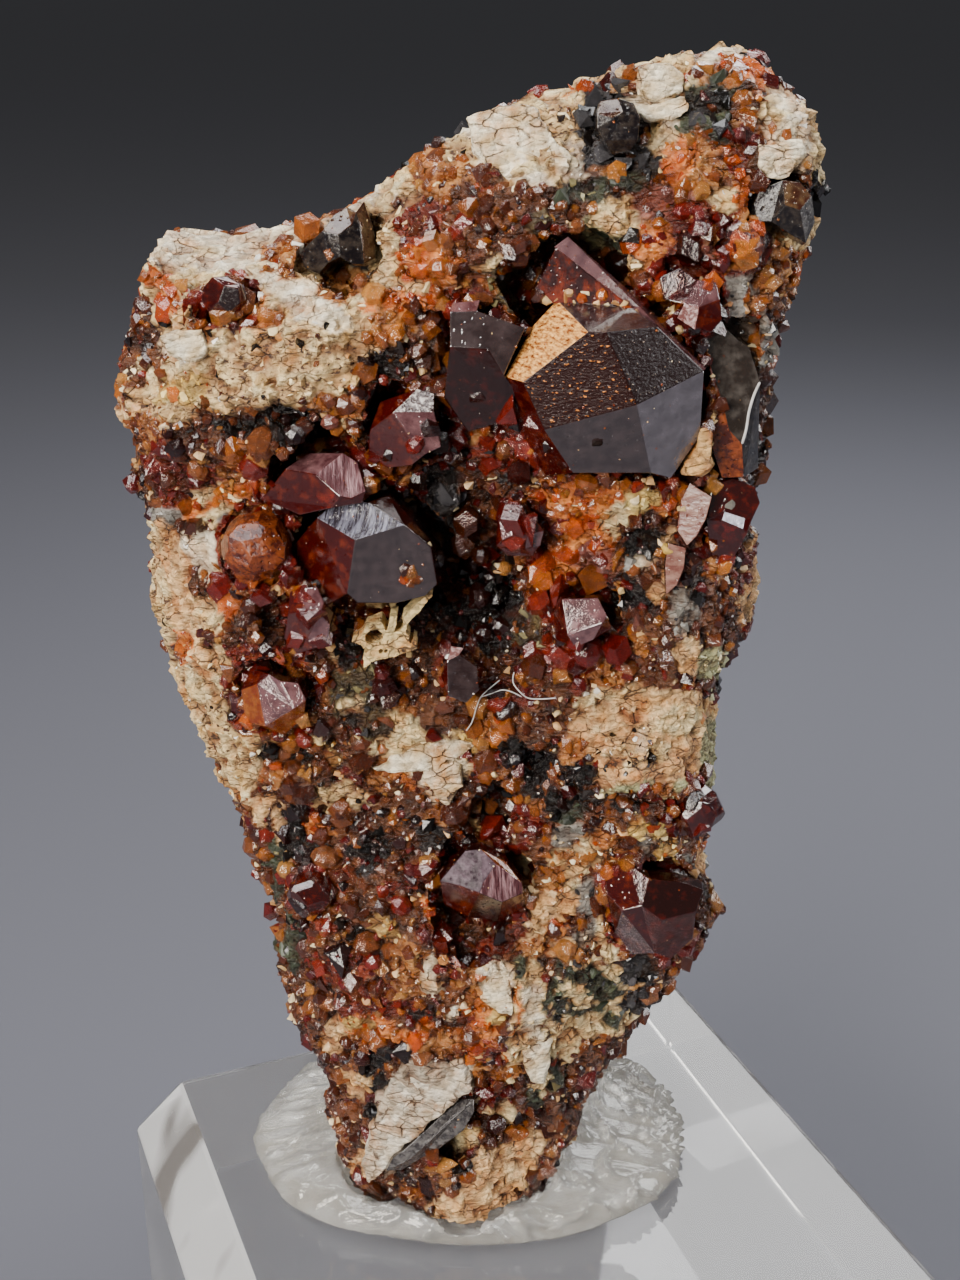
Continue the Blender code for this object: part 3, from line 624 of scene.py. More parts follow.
# Grown faces: title, body and veil colours, the veil's span of noise, what passes through and how
# densely it darkens, roughness, depth of scratches, clearness, gleam, grooves and the veil's stretch.
CRYSTAL_FINISHES = {
    # dark red right through, with fire inside painted in its veil as orange-red patches
    "garnet wine": (
        "wine red garnet, grown", "#4a0a06", "#a83014", (0.5, 0.8), WINE, 260, 0.05, 0.4, 0.7, 0.5, 0,
        (1.5, 1.5),
    ),
    # brown, with cracks and clouds
    "garnet clouded": (
        "clouded garnet, grown", "#4a160a", "#a85424", (0.42, 0.68), EMBER, 200, 0.16, 1.6, 0.3, 0.25, 0,
        (1.2, 1.2),
    ),
    # a pale bluish colour painted as the glint of a clean face turned to the light, over real gloss
    "garnet bright": (
        "garnet, bright face", "#a8a8b4", "#e0e0f0", (0.4, 0.6), WINE, 100, 0.2, 1.2, 0.1, 1.0, 0, (4, 1),
    ),
    # clear and pink, with brown depths
    "garnet clear rosy": (
        "clear rosy garnet", "#7c4a40", "#b48c7c", (0.4, 0.7), EMBER, 120, 0.12, 0.7, 0.3, 0.25, 0, (1, 2),
    ),
    # frost over a rose red inside
    "garnet frosted rosy": (
        "rosy garnet, frosted", "#6c403c", "#d0aca8", (0.46, 0.66), WINE, 300, 0.2, 1.4, 0.2, 0.12, 0,
        (3, 3),
    ),
    # grey and glassy
    "quartz face": (
        "smoky quartz, grey face", "#3a3638", "#74706e", (0.42, 0.64), SMOKE, 400, 0.14, 1.6, 0.3, 0.5, 0,
        (2, 2),
    ),
    # brown where light passes through
    "brown quartz": (
        "brown quartz, broken", "#4c2414", "#8a6a48", (0.45, 0.65), SMOKE, 200, 0.12, 1.0, 0.6, 0.6, 0,
        (1, 1),
    ),
    # a red crystal, with fire inside painted in its veil as orange patches
    "garnet red": (
        "red garnet, grown", "#5a0c06", "#b84418", (0.5, 0.78), WINE, 260, 0.05, 0.3, 0.7, 0.5, 0, (1, 1),
    ),
    # too thick to see into
    "garnet deep": (
        "deep garnet, grown", "#2c0c08", "#701c0e", (0.52, 0.8), WINE, 500, 0.08, 0.3, 0.6, 0.2, 0, (1, 1),
    ),
    # painted lilac grey sheen over a dark inside: the body colours stand in for it, as the gloss is faint
    "garnet dusky": (
        "garnet, lilac sheen", "#30242a", "#62525a", (0.4, 0.66), WINE, 700, 0.16, 0.6, 0.0, 0.04, 0,
        (1.4, 1.4),
    ),
    # a mirror face turned to the paler side: its grey body colour is a painted reflection, over real gloss
    "garnet slate pale": (
        "garnet, pale mirror face", "#443c42", "#645c64", (0.4, 0.7), WINE, 700, 0.14, 0.3, 0.2, 1.0, 0,
        (1, 1),
    ),
    # red and orange fire close under the face, painted in its veil
    "garnet ember": (
        "garnet, fire under the face", "#2a0706", "#943614", (0.46, 0.74), WINE, 400, 0.08, 0.4, 0.3, 0.15,
        0, (0.9, 0.6),
    ),
    # a mirror face: its grey body colour is a painted reflection of the pale table, over real gloss
    "garnet slate": (
        "garnet, mirror face", "#2c1c1c", "#4c3c3c", (0.4, 0.7), WINE, 700, 0.12, 0.3, 0.4, 1.0, 0, (1, 1),
    ),
    # dark, with bright dust and pits
    "garnet pitted": (
        "garnet, pitted face", "#1a0d0d", "#a89888", (0.64, 0.7), WINE, 700, 0.08, 0.8, 0.0, 0.3, 0,
        (4, 4),
    ),
    # painted golden glints over a face that shows the dark inside
    "garnet sparked": (
        "garnet, sparked face", "#200704", "#f09848", (0.61, 0.68), WINE, 700, 0.07, 0.8, 0.0, 0.15, 0,
        (2.6, 4.6),
    ),
    # a thin rosy sheen over red
    "garnet rosy": (
        "rosy garnet, grown", "#583034", "#94686a", (0.4, 0.65), WINE, 600, 0.1, 0.6, 0.4, 0.9, 0, (1, 1),
    ),
    # lit through, like honey
    "garnet orange": (
        "orange garnet, grown", "#b0480c", "#f09030", (0.45, 0.7), EMBER, 150, 0.09, 0.3, 0.7, 0.6, 0,
        (1, 1),
    ),
    # white in the scratches, painted as the face's glints; the scratches themselves are bumps
    "garnet frosted": (
        "garnet, frosted face", "#3c1c18", "#e8dcd4", (0.5, 0.6), WINE, 600, 0.2, 2.6, 0.3, 1.0, 0, (3, 3),
    ),
    # etched ridges, with the gold of light coming through the edge painted in their veil
    "garnet etched": (
        "garnet, etched face", "#6e300c", "#f8b868", (0.38, 0.62), EMBER, 300, 0.25, 2.0, 0.0, 0.12, 0,
        (1.8, 4.6),
    ),
    # grooves side by side, their silver a painted reflection over real gloss
    "garnet striated": (
        "garnet, striated face", "#3c3440", "#a4a4b8", (0.45, 0.62), WINE, 700, 0.16, 0.8, 0.3, 1.0, 2.0,
        (4, 0.5),
    ),
    # rosy grooves side by side
    "garnet striated rosy": (
        "rosy garnet, striated", "#4c2a2e", "#9c787c", (0.45, 0.65), WINE, 700, 0.18, 0.8, 0.1, 0.06, 1.2,
        (4, 0.5),
    ),
    # clouded and brown where it grew on garnet
    "smoky quartz": (
        "smoky quartz, grown", "#4a403a", "#8a8078", (0.45, 0.7), SMOKE, 260, 0.1, 0.5, 0.7, 0.5, 0,
        (1, 1),
    ),
    # nearly black, glassy where it broke
    "dark quartz": (
        "dark smoky quartz, broken", "#181214", "#50463e", (0.45, 0.7), SMOKE, 600, 0.08, 1.2, 0.4, 0.4, 0,
        (1.6, 1.6),
    ),
}


def crystal_finish(
    name, body, veil, span, through, density, rough, scratch, clear, gleam, grooves, stretch
):
    """A grown crystal face: glassy and faintly pitted, with a body colour that a veil breaks up."""
    tree, place, close = new_finish(name)
    along = add_node(tree, "UVMap", uv_map="along")
    waves = add_node(tree, "TexNoise", {"Vector": place, "Scale": 900.0, "Detail": 7.0, "Roughness": 0.62})
    spread = add_node(tree, "Mapping", {"Vector": along, "Scale": (*stretch, 1.0)})
    mottle = add_node(tree, "TexNoise", {"Vector": spread, "Scale": 1.4, "Detail": 6.0, "Roughness": 0.62})
    veiled = add_node(tree, "MapRange", {"Value": mottle, "From Min": span[0], "From Max": span[1]})
    # in several finishes the body or veil colour is painted light (glints, reflections, sheen or fire), as
    # noted with each
    colour = add_node(tree, "Mix", {0: veiled, 6: linear(body), 7: linear(veil)}, out=2, data_type="RGBA")
    pits = add_node(tree, "TexVoronoi", {"Vector": place, "Scale": 3400.0}, out="Distance")
    pit = add_node(tree, "MapRange", {"Value": pits, "From Max": 0.24})
    height = add_node(tree, "Math", {0: waves, 1: pit}, operation="ADD")
    height = add_node(tree, "Math", {0: mottle, 1: height}, operation="ADD")
    if grooves:
        lines = add_node(tree, "TexNoise", {"Vector": spread, "Scale": 2.6, "Detail": 3.0, "Roughness": 0.5})
        height = add_node(tree, "Math", {0: lines, 1: 3.0 * grooves, 2: height}, operation="MULTIPLY_ADD")
    strength, deep = min(scratch, 1.0), 0.00005 * max(scratch, 1.0)
    bump = add_node(tree, "Bump", {"Height": height, "Strength": strength, "Distance": deep})
    levels = {"From Min": 0.3, "From Max": 0.7, "To Min": rough * 0.5, "To Max": rough * 1.6}
    uneven = add_node(tree, "MapRange", {"Value": waves, **levels})
    shade = None
    if density:
        shade = add_node(tree, "VolumeAbsorption", {"Color": (*through, 1.0), "Density": float(density)})
    return close({
        "Base Color": colour, "Roughness": uneven, "Normal": bump,
        "IOR": QUARTZ_IOR if "quartz" in name else GARNET_IOR,
        "Transmission Weight": clear, "Specular IOR Level": gleam,
    }, shade)


def lint_finish():
    """Cotton lint and a pale broken edge: dull white, uneven along the fibre."""
    tree, place, close = new_finish("cotton lint")
    cloud = add_node(tree, "TexNoise", {"Vector": place, "Scale": 2600.0, "Detail": 3.0})
    pale, white = linear("#a8a4a0"), linear("#f0eeec")
    colour = add_node(tree, "Mix", {0: cloud, 6: pale, 7: white}, out=2, data_type="RGBA")
    return close({"Base Color": colour, "Roughness": 0.5, "Transmission Weight": 0.2})


# Druse: title, roughness, IOR, clearness, gleam, and the scale and strength of its pits.
GRAIN_FINISHES = {
    # fresh garnet druse: translucent and bright
    "garnet grains": ("garnet druse", 0.14, 1.78, 0.7, 0.2, 3000.0, 0.8),
    # broken feldspar: cloudy, satin on its cleavages
    "feldspar grains": ("cleaved feldspar", 0.4, 1.53, 0.1, 0.5, 3800.0, 0.5),
    # broken smoky quartz: glassy
    "quartz grains": ("broken smoky quartz", 0.12, 1.55, 0.4, 0.3, 2200.0, 0.3),
}
FINISHES = {}


def finish(name):
    """A finish by its short name, made when it is first asked for."""
    if name not in FINISHES:
        if name in GRAIN_FINISHES:
            FINISHES[name] = grain_finish(*GRAIN_FINISHES[name])
        elif name in CRYSTAL_FINISHES:
            FINISHES[name] = crystal_finish(*CRYSTAL_FINISHES[name])
        else:
            FINISHES[name] = rock_finish() if name == "rock" else lint_finish()
    return FINISHES[name]


# ---------------------------------------------------------------- rock
COLLAR = 0.55  # how far a crystal's own druse reaches


def leaning_cell(spot, size, spread):
    """How high a place stands on its broken cell, each cell leaning its own way."""
    _, cells = noise.voronoi(spot / size)
    lean = 2.0 * noise.cell_vector(cells[0] * spread) - Vector((1.0, 1.0, 1.0))
    return (spot / size - cells[0]).dot(lean)


def relief(points, kinds):
    """How far each point of the rock moves along its normal."""
    rough = np.array([MINERALS[name][4] for name in MINERAL_NAMES])[kinds]
    moved = np.empty(len(points))
    for i, (place, bump) in enumerate(zip(points, rough)):
        spot = Vector(place)
        facet = leaning_cell(spot, 1.3, 37.0)
        step = leaning_cell(spot, 0.55, 53.0)
        lumps = noise.noise(spot / 0.8)
        crumbs = noise.noise(spot / 0.33)
        moved[i] = 0.3 * facet + bump * (0.55 * lumps + 0.3 * crumbs + 0.5 * step)
    return moved


def beside_crystals(points, kinds):
    """Turns the rock that carries a garnet crystal into garnet druse."""
    solid = surface(*grown("garnet"))
    red, amber = MINERAL_NAMES.index("red"), MINERAL_NAMES.index("amber")
    for i, place in enumerate(points):
        _, _, _, far = solid.find_nearest(Vector(place), COLLAR)
        if far is not None:
            kinds[i] = amber if noise.noise(Vector(place) / 0.9) > 0.25 else red


def build_rock(settings):
    """The stone: remeshed finely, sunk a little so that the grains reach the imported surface."""
    source = mesh_of(merged_copy("matrix"), "matrix_source")
    fine = in_order(evaluated(source, "REMESH", mode="VOXEL", voxel_size=settings.step * MM))
    behind = [int(i) for i in np.flatnonzero(points_of(fine)[:, 1] > BEHIND)]
    mesh = evaluated(fine, "DECIMATE", behind, ratio=settings.keep, vertex_group_factor=10.0)
    mesh.name = "rock"
    points, normals = points_of(mesh), normals_of(mesh)
    kinds = mineral_map(points, normals)
    beside_crystals(points, kinds)
    x, height = on_display(points)
    front = np.clip((2.0 - points[:, 1]) / 1.5, 0.0, 1.0)
    sunk = np.zeros(len(points))
    for *ellipse, depth in HOLLOWS:
        sunk += depth / (1.0 + in_ellipse(x, height, *ellipse) ** 2)
    moved = relief(points, kinds)
    push = moved - settings.sink - sunk * front
    put_points(mesh, points + normals * push[:, None])
    tones = np.array([[linear(code) for code in MINERALS[name][:2]] for name in MINERAL_NAMES])
    share = np.clip(0.5 + 0.8 * noises(points, 0.7), 0.0, 1.0)[:, None]
    tone = tones[kinds, 0] * (1 - share) + tones[kinds, 1] * share
    # painted shade: the tone darkens towards the shade colour where the relief is low and in the hollows
    unshaded = np.clip((moved - 0.5 * sunk * front + 0.3) / 0.42, 0.0, 1.0)[:, None]
    tone *= unshaded + (1 - unshaded) * np.array(linear(settings.painted_shade))
    paint(mesh, "tone", "FLOAT_COLOR", tone)
    for name, column in (("specked", 2), ("gloss", 3)):
        paint(mesh, name, "FLOAT", np.array([MINERALS[n][column] for n in MINERAL_NAMES])[kinds])
    paint(mesh, "mineral", "INT", kinds)
    mesh.shade_flat()
    return new_piece("broken_rock", mesh, "rock", finish("rock"), replaces=("matrix",))


# ---------------------------------------------------------------- grains
def hull(corners):
    """The convex solid round these corners, with its flat faces whole and a reach of 1."""
    shape = bmesh.new()
    for corner in corners:
        shape.verts.new(corner)
    made = bmesh.ops.convex_hull(shape, input=shape.verts)
    inner = {g for g in made["geom_interior"] + made["geom_unused"] if isinstance(g, bmesh.types.BMVert)}
    bmesh.ops.delete(shape, geom=list(inner), context="VERTS")
    bmesh.ops.dissolve_limit(shape, angle_limit=FLAT, verts=shape.verts, edges=shape.edges)
    bmesh.ops.recalc_face_normals(shape, faces=shape.faces)
    shape.verts.index_update()
    points = np.array([v.co for v in shape.verts])
    faces = [[v.index for v in face.verts] for face in shape.faces]
    shape.free()
    return points / np.abs(points).max(), faces


def signs(*values):
    """The point and all its mirror images and turns."""
    turns = [[values[i] for i in order] for order in ((0, 1, 2), (1, 2, 0), (2, 0, 1))]
    flips = itertools.product((-1, 1), repeat=3)
    return sorted({tuple(s * v for s, v in zip(flip, turn)) for flip in flips for turn in turns})


def random_way(rnd):
    return Vector((rnd.gauss(0, 1), rnd.gauss(0, 1), rnd.gauss(0, 1))).normalized()


def chip(rnd, corners, width=1.0, height=1.0):
    """A broken bit with this many corners, squashed across and in height."""
    ball = [random_way(rnd) for _ in range(corners)]
    return hull([Vector((v.x, v.y * width, v.z * height)) * rnd.uniform(0.75, 1.0) for v in ball])


def grain_shapes(rnd):
    """Templates for each finish's grains."""
    dodecahedron = hull(signs(1, 1, 1) + signs(2, 0, 0))
    trapezohedron = hull(signs(1, 0, 0) + signs(0.67, 0.67, 0) + signs(0.5, 0.5, 0.5))
    chunks = [chip(rnd, 11) for _ in range(7)]
    flakes = [chip(rnd, 12, 0.75, 0.4) for _ in range(6)]
    ring = [Vector((math.cos(a), math.sin(a), 0)) * 0.5 for a in [i * math.pi / 3 for i in range(6)]]
    prism = [r + Vector((0, 0, 0.45)) for r in ring] + [r - Vector((0, 0, 0.8)) for r in ring]
    point = hull(prism + [Vector((0, 0, 1.0)), Vector((0.03, 0.02, 0.99))])
    return {
        "garnet": [dodecahedron, dodecahedron, trapezohedron] + chunks[:3],
        "feldspar": flakes + chunks[3:5],
        "quartz": chunks + [point],
    }


# Grain classes: reach from and to, cell that holds one grain, share kept in front and behind.
GRAIN_CLASSES = (
    (0.6, 0.95, 1.5, 0.5, 0.6),
    (0.36, 0.6, 0.8, 0.95, 0.85),
    (0.2, 0.36, 0.46, 0.95, 0.12),
    (0.1, 0.18, 0.32, 0.7, 0.0),
)
PALE_REACH = 0.34  # the largest loose feldspar grain
SHOWING = 0.72  # a grain keeps this share of its neighbour's reach clear


def scatter(mesh, wanted, draw):
    """Random places on a mesh, even over its area: places, normals and each triangle's first point."""
    points, normals = points_of(mesh), normals_of(mesh)
    mesh.calc_loop_triangles()
    triangles = np.empty(len(mesh.loop_triangles) * 3, np.int32)
    mesh.loop_triangles.foreach_get("vertices", triangles)
    # the triangles are put in a fixed order, by where their points lie
    order = np.lexsort(np.round(points, 4).T)
    rank = np.sort(np.argsort(order)[triangles.reshape(-1, 3)], axis=1)
    triangles = order[rank[np.lexsort(rank.T)]]
    one, two, three = (points[triangles[:, i]] for i in range(3))
    areas = np.round(np.linalg.norm(np.cross(two - one, three - one), axis=1), 6)
    picked = triangles[draw.choice(len(triangles), wanted, p=areas / areas.sum())]
    a, b = draw.random(wanted), draw.random(wanted)
    over = a + b > 1
    a[over], b[over] = 1 - a[over], 1 - b[over]
    corners = points[picked]
    places = corners[:, 0] + a[:, None] * (corners[:, 1] - corners[:, 0])
    places += b[:, None] * (corners[:, 2] - corners[:, 0])
    return places, normals[picked[:, 0]], picked[:, 0]


def grain_seeds(rock, settings, rnd, draw):
    """Places for grains on the rock: (place, normal, reach, family)."""
    kinds = np.empty(len(rock.vertices), np.int32)
    rock.attributes["mineral"].data.foreach_get("value", kinds)
    solid = surface(*grown("garnet", "smoky", "rosy", "cleaved", ends=("_grown", "_blocks")))
    minerals = [MINERALS[name] for name in MINERAL_NAMES]
    taken, seeds = [], []
    for low, high, cell, front_share, back_share in GRAIN_CLASSES:
        wanted = int(settings.density * 7000 / cell**2)
        places, normals, owners = scatter(rock, wanted, draw)
        _, first = np.unique(np.floor(places / cell).astype(int), axis=0, return_index=True)
        tree = KDTree(len(taken))
        for i, (place, reach) in enumerate(taken):
            tree.insert(place, i)
        tree.balance()
        fresh = []
        for i in sorted(first):
            place, mineral = Vector(places[i]), minerals[kinds[owners[i]]]
            keep = mineral[5] * (back_share if place.y > BEHIND else front_share)
            reach, family = rnd.uniform(low, high), rnd.choice(mineral[7])
            if family in "cwthg":
                reach = min(reach, PALE_REACH)
            if rnd.random() > keep or reach > mineral[6] or place.z < 1.6:
                continue
            near, normal, _, far = solid.find_nearest(place)
            if (place - near).dot(normal) < 0.0 or far < 0.12 * reach:
                continue
            if taken:
                _, other, gap = tree.find(place)
                if gap < SHOWING * taken[other][1] + 0.15 * reach:
                    continue
            fresh.append((place, reach))
            seeds.append((place, Vector(normals[i]), reach, family))
        taken += fresh
    return seeds


def collar_seeds(rock, rnd, draw):
    """Druse that grew round the foot of every garnet crystal."""
    stone = surface(rock)
    seeds = []
    for crystal in grown("garnet"):
        places, normals, _ = scatter(crystal, 420, draw)
        cells = set()
        for place, normal in zip(places, normals):
            place, normal = Vector(place), Vector(normal)
            _, out, _, far = stone.find_nearest(place)
            cell = tuple(int(v // COLLAR) for v in place)
            if far > 0.35 or place.y > 1.5 or cell in cells:
                continue
            cells.add(cell)
            family = rnd.choice("rrrdba" if noise.noise(place / 1.5) < 0.1 else "aaorb")
            seeds.append((place, (normal + out).normalized(), rnd.uniform(0.25, 0.62), family))
    return seeds


def dust_seeds(rnd, draw):
    """Crumbs that lie on the large faces."""
    seeds = []
    for crystal in grown(""):
        area = sum(face.area for face in crystal.polygons) / MM**2
        places, normals, _ = scatter(crystal, int(0.9 * area), draw)
        for place, normal in zip(places, normals):
            if normal[1] < 0.2:
                seeds.append((Vector(place), Vector(normal), rnd.uniform(0.03, 0.08), rnd.choice("wchtaoo")))
    return seeds


# Single grains that stand out: where the eye sees them in its frame (across, down), their reach in mm
# and their family.
NOTABLE = """
341 277 0.62 b, 329 255 0.45 a, 405 569 0.4 b, 412 573 0.45 a, 418 580 0.4 b, 411 584 0.45 a, 403 580 0.35 o,
378 484 0.45 c, 385 488 0.4 w, 382 475 0.4 h, 544 497 0.3 w, 536 494 0.3 y, 579 488 0.52 p, 617 518 0.35 c,
611 505 0.3 t, 646 505 0.35 g, 637 499 0.35 c, 653 516 0.32 t, 627 567 0.5 y, 634 560 0.4 y, 607 572 0.24 w,
676 491 0.5 o, 684 508 0.32 c, 611 654 0.36 o, 708 284 0.42 o, 748 507 0.34 c, 730 505 0.32 y, 743 492 0.2 c,
499 647 0.3 w, 508 650 0.3 w, 451 652 0.32 w, 668 550 0.35 g, 545 560 0.7 o, 556 545 0.6 o, 533 575 0.7 o,
520 585 0.6 a, 575 530 0.7 o, 600 545 0.6 o, 590 505 0.5 a, 560 520 0.5 r, 624 670 0.6 r, 590 670 0.6 r,
560 660 0.9 r, 575 645 0.6 r, 538 296 0.4 b, 548 299 0.4 c, 556 297 0.36 h, 566 298 0.4 h, 574 301 0.42 c,
582 299 0.34 o, 590 302 0.4 c, 598 301 0.36 t, 606 303 0.4 c, 614 303 0.32 h, 622 305 0.36 c, 630 306 0.3 o,
638 308 0.3 t, 570 292 0.3 t, 586 293 0.3 c, 602 295 0.28 o, 618 297 0.26 c, 578 308 0.16 w, 610 311 0.14 h,
594 309 0.14 c, 310 618 0.85 r, 322 640 0.7 r, 296 640 0.7 r, 304 596 0.6 r, 262 668 0.7 r, 302 728 0.75 r,
244 735 0.6 a, 284 752 0.6 b, 495 690 0.8 d, 520 668 0.8 r, 508 712 0.7 d, 532 700 0.7 r, 562 622 0.85 r,
585 650 0.9 r, 612 640 0.7 r, 640 612 0.7 p, 556 590 0.8 r, 505 408 0.8 r, 478 398 0.7 d, 492 445 0.7 r,
520 470 0.7 d, 455 455 0.7 r, 418 480 0.7 d, 448 490 0.75 s, 462 520 0.7 k, 440 560 0.6 d, 470 560 0.7 d,
480 600 0.7 d, 452 600 0.6 b, 500 625 0.6 d, 430 545 0.3 c, 452 508 0.25 c, 508 520 0.95 r, 532 530 0.8 r,
516 545 0.7 r, 545 580 0.8 o, 410 845 0.85 r, 392 868 0.7 b, 424 868 0.7 r, 430 900 0.75 r, 398 905 0.7 r,
440 935 0.85 r, 470 945 0.95 r, 502 932 0.9 d, 486 962 0.6 r, 455 965 0.5 o, 300 812 0.8 d, 322 835 0.7 b,
340 808 0.7 b, 362 830 0.75 r, 334 872 0.8 b, 306 862 0.7 d, 300 905 0.8 d, 326 918 0.8 d, 352 905 0.7 b,
364 940 0.7 a, 336 950 0.8 d, 306 948 0.7 b, 322 982 0.7 b, 352 982 0.7 b, 384 965 0.7 a, 378 1002 0.6 a,
340 1012 0.6 b, 402 1010 0.5 o, 425 1030 0.6 a, 470 1040 0.6 a, 505 1055 0.6 o, 495 1085 0.6 b,
430 1185 0.75 d, 450 1192 0.6 b, 412 1182 0.6 d, 470 1175 0.6 a, 590 858 0.6 a, 690 800 0.7 d, 702 830 0.6 r,
695 858 0.7 r, 640 855 0.6 b, 600 905 0.6 b, 655 240 0.8 r, 682 250 0.8 r, 665 222 0.6 a, 705 262 0.6 r,
630 245 0.6 o, 425 360 0.6 b, 430 330 0.5 a, 455 235 0.7 r, 480 215 0.6 b, 430 220 0.6 r, 500 190 0.6 b,
440 270 0.6 a, 520 260 0.6 b, 490 270 0.6 a, 150 465 0.7 r, 175 448 0.6 d, 198 470 0.6 b, 228 455 0.6 b,
262 458 0.5 a, 300 430 0.5 a, 330 420 0.42 p, 240 505 0.4 h, 612 735 0.22 k, 622 742 0.26 k, 618 757 0.24 s,
630 762 0.24 k, 640 745 0.22 k, 606 769 0.24 k, 626 774 0.2 s, 646 766 0.22 s, 634 730 0.2 k, 650 742 0.2 s,
598 752 0.2 k, 712 645 0.7 e, 716 661 0.6 e, 708 673 0.6 e, 714 690 0.5 e, 711 742 0.6 e, 706 760 0.6 e,
698 781 0.6 e, 690 796 0.6 e, 712 771 0.5 e, 515 406 0.6 d, 532 425 0.7 r, 500 430 0.5 d, 547 447 0.6 d,
522 452 0.6 r, 562 466 0.5 d, 587 476 0.4 d, 430 428 0.6 d, 414 446 0.5 r, 440 452 0.6 d, 457 446 0.4 k,
488 446 0.5 k, 505 462 0.5 d, 470 466 0.5 r, 425 470 0.5 d, 448 478 0.4 k, 515 250 0.6 d, 526 266 0.6 b,
510 281 0.6 r, 531 241 0.5 b, 541 228 0.5 d, 503 263 0.5 b, 520 292 0.5 r, 536 268 0.5 d, 345 405 0.6 b,
360 392 0.5 d, 337 425 0.4 a, 351 424 0.5 b, 320 445 0.5 a, 305 456 0.5 b, 366 410 0.5 r, 334 441 0.5 r,
398 478 0.6 r, 408 491 0.5 d, 390 468 0.4 r, 420 488 0.5 r, 404 505 0.5 k, 386 455 0.5 d, 460 735 0.4 g,
610 735 0.3 h, 745 560 0.5 t, 752 545 0.45 t, 160 300 0.45 o, 172 292 0.55 o, 180 288 0.45 a, 150 298 0.55 b,
148 310 0.5 b, 165 322 0.4 k, 137 322 0.5 b, 212 332 0.45 k, 204 324 0.35 a, 237 274 0.3 a, 240 312 0.35 b,
255 313 0.3 b, 598 446 0.3 k, 572 90 0.5 o, 586 86 0.6 o, 606 82 0.55 r, 596 90 0.35 a, 628 74 0.5 a,
634 86 0.4 b, 772 82 0.7 r, 784 84 0.5 b, 748 121 0.8 a, 736 160 0.6 o, 728 140 0.6 r, 716 104 0.6 k,
730 68 0.6 a, 616 170 0.6 o, 650 135 0.6 a, 773 127 0.4 a, 788 135 0.3 a, 745 196 0.4 o, 735 240 0.7 o,
752 245 0.8 o, 745 262 0.6 a
"""


def notable_seeds(rock):
    """The single grains, set where their line of sight first meets the specimen."""
    front = surface(rock, *grown(""))
    seeds = []
    for grain in NOTABLE.split(","):
        across, down, reach, family = grain.split()
        place, normal, _, _ = front.ray_cast(Vector(EYE), sight(float(across), float(down)))
        if place:
            seeds.append((place, normal, float(reach), family))
    return seeds


def build_grains(rock, settings):
    """Joins the grains of each finish into pieces: upper and lower in front, and behind."""
    rnd = random.Random(settings.seed)
    draw = np.random.default_rng(settings.seed)
    shapes = grain_shapes(rnd)
    seeds = grain_seeds(rock, settings, rnd, draw) + collar_seeds(rock, rnd, draw)
    seeds += notable_seeds(rock) + dust_seeds(rnd, draw)
    cleavage = Matrix.Rotation(0.5, 3, "X") @ Matrix.Rotation(0.4, 3, "Z")
    heaps = {}
    for place, normal, reach, family in seeds:
        stuff, *codes = FAMILIES[family]
        side = "behind" if place.y > BEHIND else "upper" if place.z > 30.0 else "lower"
        points, faces = rnd.choice(shapes[stuff])
        stretch = Matrix.Diagonal([rnd.uniform(0.8, 1.15) for _ in range(3)])
        axis = random_way(rnd)
        turn = Matrix.Rotation(rnd.uniform(0, math.tau), 3, axis)
        if stuff == "feldspar":
            lean = [Matrix.Rotation(rnd.gauss(0, 0.3), 3, axis) for axis in "XYZ"]
            turn = cleavage @ lean[0] @ lean[1] @ lean[2]
        turn = np.array(turn @ stretch) * reach
        sunk = rnd.uniform(0.15, 0.65) + (0.2 if stuff == "feldspar" else 0.0)
        middle = np.array(place - normal * reach * sunk)
        share = 1.0 + 1.6 * noise.noise(place / 1.6) + rnd.uniform(-0.45, 0.45)
        scale = np.array([linear(code) for code in codes])
        tone = np.array([np.interp(share, (0.0, 1.0, 2.0), scale[:, i]) for i in range(4)])
        heap = heaps.setdefault((stuff, side), ([], [], [], [0]))
        start = heap[3][0]
        heap[0].append(points @ turn.T + middle)
        heap[1].extend([[start + i for i in face] for face in faces])
        heap[2].append(np.tile(tone, (len(points), 1)))
        heap[3][0] += len(points)
    slots = {"garnet": "garnet", "feldspar": "rock", "quartz": "smoky_quartz"}
    for (stuff, side), (points, faces, tones, _) in sorted(heaps.items()):
        name = f"{stuff}_druse_{side}"
        mesh = new_mesh(name, np.vstack(points), faces, np.vstack(tones))
        new_piece(name, mesh, slots[stuff], finish(stuff + " grains"))


# ---------------------------------------------------------------- flake and lint
# A pierced flake of cream feldspar: its outline as the eye sees it (across, down), and its round holes
# (across, down, half width, half height).
FLAKE = (
    (352, 642), (361, 637), (366, 627), (372, 625), (381, 622), (384, 626), (386, 632), (388, 628),
    (390, 617), (397, 617), (396, 626), (394, 632), (400, 632), (404, 625), (402, 619), (408, 613),
    (415, 606), (424, 599), (429, 594), (433, 597), (428, 602), (420, 612), (413, 618), (407, 624),
    (406, 632), (410, 637), (416, 641), (417, 648), (411, 651), (400, 655), (385, 659), (371, 662),
    (368, 666), (364, 667), (363, 658), (365, 652), (361, 645),
)
FLAKE_HOLES = (
    (374, 638, 9, 7), (381, 652, 2.4, 2.4), (386, 652, 2, 2), (366, 650, 2.4, 2.6), (411, 640, 2, 3),
)
FLAKE_CORNER = (348, 590)  # upper left corner of the flake's part of the frame
FLAKE_CELL = 0.8  # the flake's mesh, in steps of the frame
FLAKE_CELLS = (112, 100)
FLAKE_DEPTH = -4.9
FLAKE_THICK = 1.3
